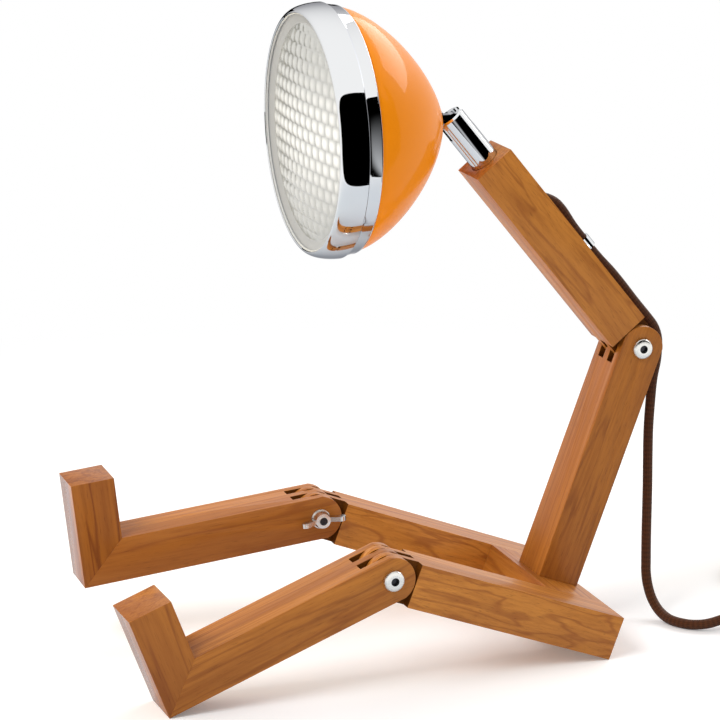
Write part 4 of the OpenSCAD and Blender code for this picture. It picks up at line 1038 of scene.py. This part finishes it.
class LAMP_OT_head(bpy.types.Operator):
    """Lamp shell, rim, lens with its prisms, reflector and bulb"""
    bl_idname = "lamp.head"
    bl_label = "Lamp head"

    def execute(self, context):
        head = context.scene.lamp_head
        bowl_front = SHELL_BACK + head.bowl_depth * flat_share(head.shell_r)
        rim_front = bowl_front + RIM_DEPTH
        lens_front = rim_front - RIM_WALL - RIM_GAP - SEAL_T
        lens_back = lens_front - LENS_T
        inner_r = head.shell_r - SHELL_WALL
        outer = bowl_profile(head.shell_r, head.bowl_depth, bowl_front)
        inner = bowl_profile(inner_r, head.bowl_depth - SHELL_WALL, bowl_front)
        collar = lens_back - SEAL_T
        profile = np.vstack([[(head.shell_r, collar)], outer, [(STEM_HOLE_R, SHELL_BACK)],
                             [(STEM_HOLE_R, SHELL_BACK + SHELL_WALL)], inner[::-1], [(inner_r, collar)]])
        points, faces = revolve(profile, SHELL_STEPS)
        shell = new_piece("shell_bowl", points, faces, "head", MATERIALS["paint"], 35)
        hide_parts("head_shell")

        skirt_r = head.shell_r + RIM_GAP + RIM_WALL
        turn = np.linspace(90, 0, 25) * np.pi / 180

        def band(big, front, depth):
            """A quarter of an ellipse from the radius big to the opening."""
            return np.stack([head.opening_r + (big - head.opening_r) * np.sin(turn),
                             front - depth * (1 - np.cos(turn))], axis=1)

        bead = np.linspace(-60, 75, 8) * np.pi / 180
        band_back = rim_front - BAND_DEPTH
        skirt_top = head.rim_r - RIM_STEP
        rolled = np.stack([skirt_r - RIM_ROLL + RIM_ROLL * np.cos(bead),
                           bowl_front + RIM_ROLL - RIM_ROLL * np.sin(bead)], axis=1)[::-1]
        step = [(skirt_top - 0.35 * MM, band_back - 1.6 * MM), (skirt_top, band_back - 0.5 * MM),
                (head.rim_r - 0.12 * MM, band_back - 0.1 * MM)]
        profile = np.vstack([rolled, step, band(head.rim_r, rim_front, BAND_DEPTH),
                             [(head.opening_r - 0.25 * MM, rim_front - 0.3 * MM)],
                             band(head.rim_r - RIM_WALL, rim_front - RIM_WALL, BAND_DEPTH - RIM_WALL)[::-1],
                             [(skirt_r - RIM_WALL, bowl_front + 0.4 * MM)]])
        points, faces = revolve(profile, RIM_STEPS)
        rim = new_piece("rim_band", points, faces, "head", MATERIALS["chrome"], 32)
        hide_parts("head_rim")

        lens = self.lens_piece(head, lens_front, lens_back)
        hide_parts("lens")
        dress("lens_seal", MATERIALS["seal"])
        dress("reflector", MATERIALS["mirror"])
        dress("lamp_holder", MATERIALS["ivory"])
        dress("bulb", MATERIALS["frosted"])
        return {"FINISHED"}

    def lens_piece(self, head, front, back):
        """A disc on a polar grid, whose front is out = edge + rise (1 - (r/dome)^2) plus a pillow in each
        cell: height |cos(pi x / w)|^0.7 |cos(pi z / h)|^0.6, every second row moved by half a cell, fading
        to nothing at the dome's edge. A ground cone joins the dome to the disc's flat border. The
        attribute painted_glint is pillow times (0.08 + 0.92 exp(-(z / reach)^2)): a painted highlight on
        each prism, brightest across the lens's middle."""
        rings, spokes = 150, 360
        r = np.linspace(0.25 * MM, DOME_R, rings)[:, None]
        t = angles(spokes)[None, :]
        x, up = r * np.cos(t), r * np.sin(t)
        moved = x + head.cell_w / 2 * (np.floor(up / head.cell_h + 0.5) % 2)
        pillow = np.abs(np.cos(np.pi * moved / head.cell_w)) ** 0.7
        pillow = pillow * np.abs(np.cos(np.pi * up / head.cell_h)) ** 0.6
        fade = np.clip((DOME_R - r) / FADE_W, 0, 1)
        low = front - LENS_RECESS
        face = head_points(x, up, low + LENS_RISE * (1 - (r / DOME_R) ** 2) + PILLOW_H * pillow * fade)
        # The cone, the border's rounded edge and the disc's back
        edge_r = np.array([DOME_R + 0.3 * MM, 63.2 * MM, 64.6 * MM, 64.9 * MM, 64.9 * MM, 30 * MM])[:, None]
        edge_out = np.array([low, front - 0.2 * MM, front, front - 0.2 * MM, back, back])[:, None]
        edge_out = np.broadcast_to(edge_out, (len(edge_r), spokes))
        edge = head_points(edge_r * np.cos(t), edge_r * np.sin(t), edge_out)
        points = np.concatenate([face, edge])
        rows = rings + len(edge_r)
        faces = tube_faces(rows, spokes)
        faces[-2:] = [end[::-1] for end in faces[-2:]]
        piece = new_piece("lens_prisms", points, faces, "head", MATERIALS["lens"], 50)
        piece.data.materials.append(MATERIALS["ground"])
        # Painted glint: each prism's pillow pales the lens, most in a band across its middle.
        painted_glint = np.zeros(rows * spokes, np.float32)
        painted_glint[:rings * spokes] = (pillow * fade * (0.08 + 0.92 * np.exp(-(up / GLINT_REACH) ** 2))).ravel()
        piece.data.attributes.new("painted_glint", "FLOAT", "POINT").data.foreach_set("value", painted_glint)
        ground = np.zeros(len(faces), np.int32)
        ground[(rings - 1) * spokes:(rings + 3) * spokes] = 1
        piece.data.polygons.foreach_set("material_index", ground)
        return piece


# ---- switch ----


class LAMP_OT_switch(bpy.types.Operator):
    """The in-line switch's block and rocker"""
    bl_idname = "lamp.switch"
    bl_label = "Switch"

    def execute(self, context):
        dress("switch_block", MATERIALS["ivory"])
        dress("switch_rocker", MATERIALS["black"])
        return {"FINISHED"}


class LAMP_PT_panel(bpy.types.Panel):
    """Lists the lamp's settings and the steps that build it"""
    bl_label = "Figure Lamp"
    bl_idname = "LAMP_PT_panel"
    bl_space_type = "VIEW_3D"
    bl_region_type = "UI"
    bl_category = "Figure Lamp"

    def draw(self, context):
        for name, group in SETTINGS.items():
            for entry in group.__annotations__:
                self.layout.prop(getattr(context.scene, name), entry)
        for operator in STEPS:
            self.layout.operator(operator.bl_idname)


STEPS = (LAMP_OT_stage, LAMP_OT_cord, LAMP_OT_timber, LAMP_OT_fittings, LAMP_OT_head, LAMP_OT_switch)
SETTINGS = {"lamp_timber": TimberSettings, "lamp_head": HeadSettings, "lamp_cord": CordSettings,
            "lamp_stage": StageSettings}


def register():
    for name, group in SETTINGS.items():
        bpy.utils.register_class(group)
        setattr(bpy.types.Scene, name, bpy.props.PointerProperty(type=group))
    for cls in (*STEPS, LAMP_PT_panel):
        bpy.utils.register_class(cls)


def unregister():
    for cls in reversed((*STEPS, LAMP_PT_panel)):
        bpy.utils.unregister_class(cls)
    for name, group in SETTINGS.items():
        delattr(bpy.types.Scene, name)
        bpy.utils.unregister_class(group)


def main():
    register()
    make_materials()
    bpy.ops.lamp.stage()
    bpy.ops.lamp.cord()
    bpy.ops.lamp.timber()
    bpy.ops.lamp.fittings()
    bpy.ops.lamp.head()
    bpy.ops.lamp.switch()


if __name__ == "__main__":
    main()
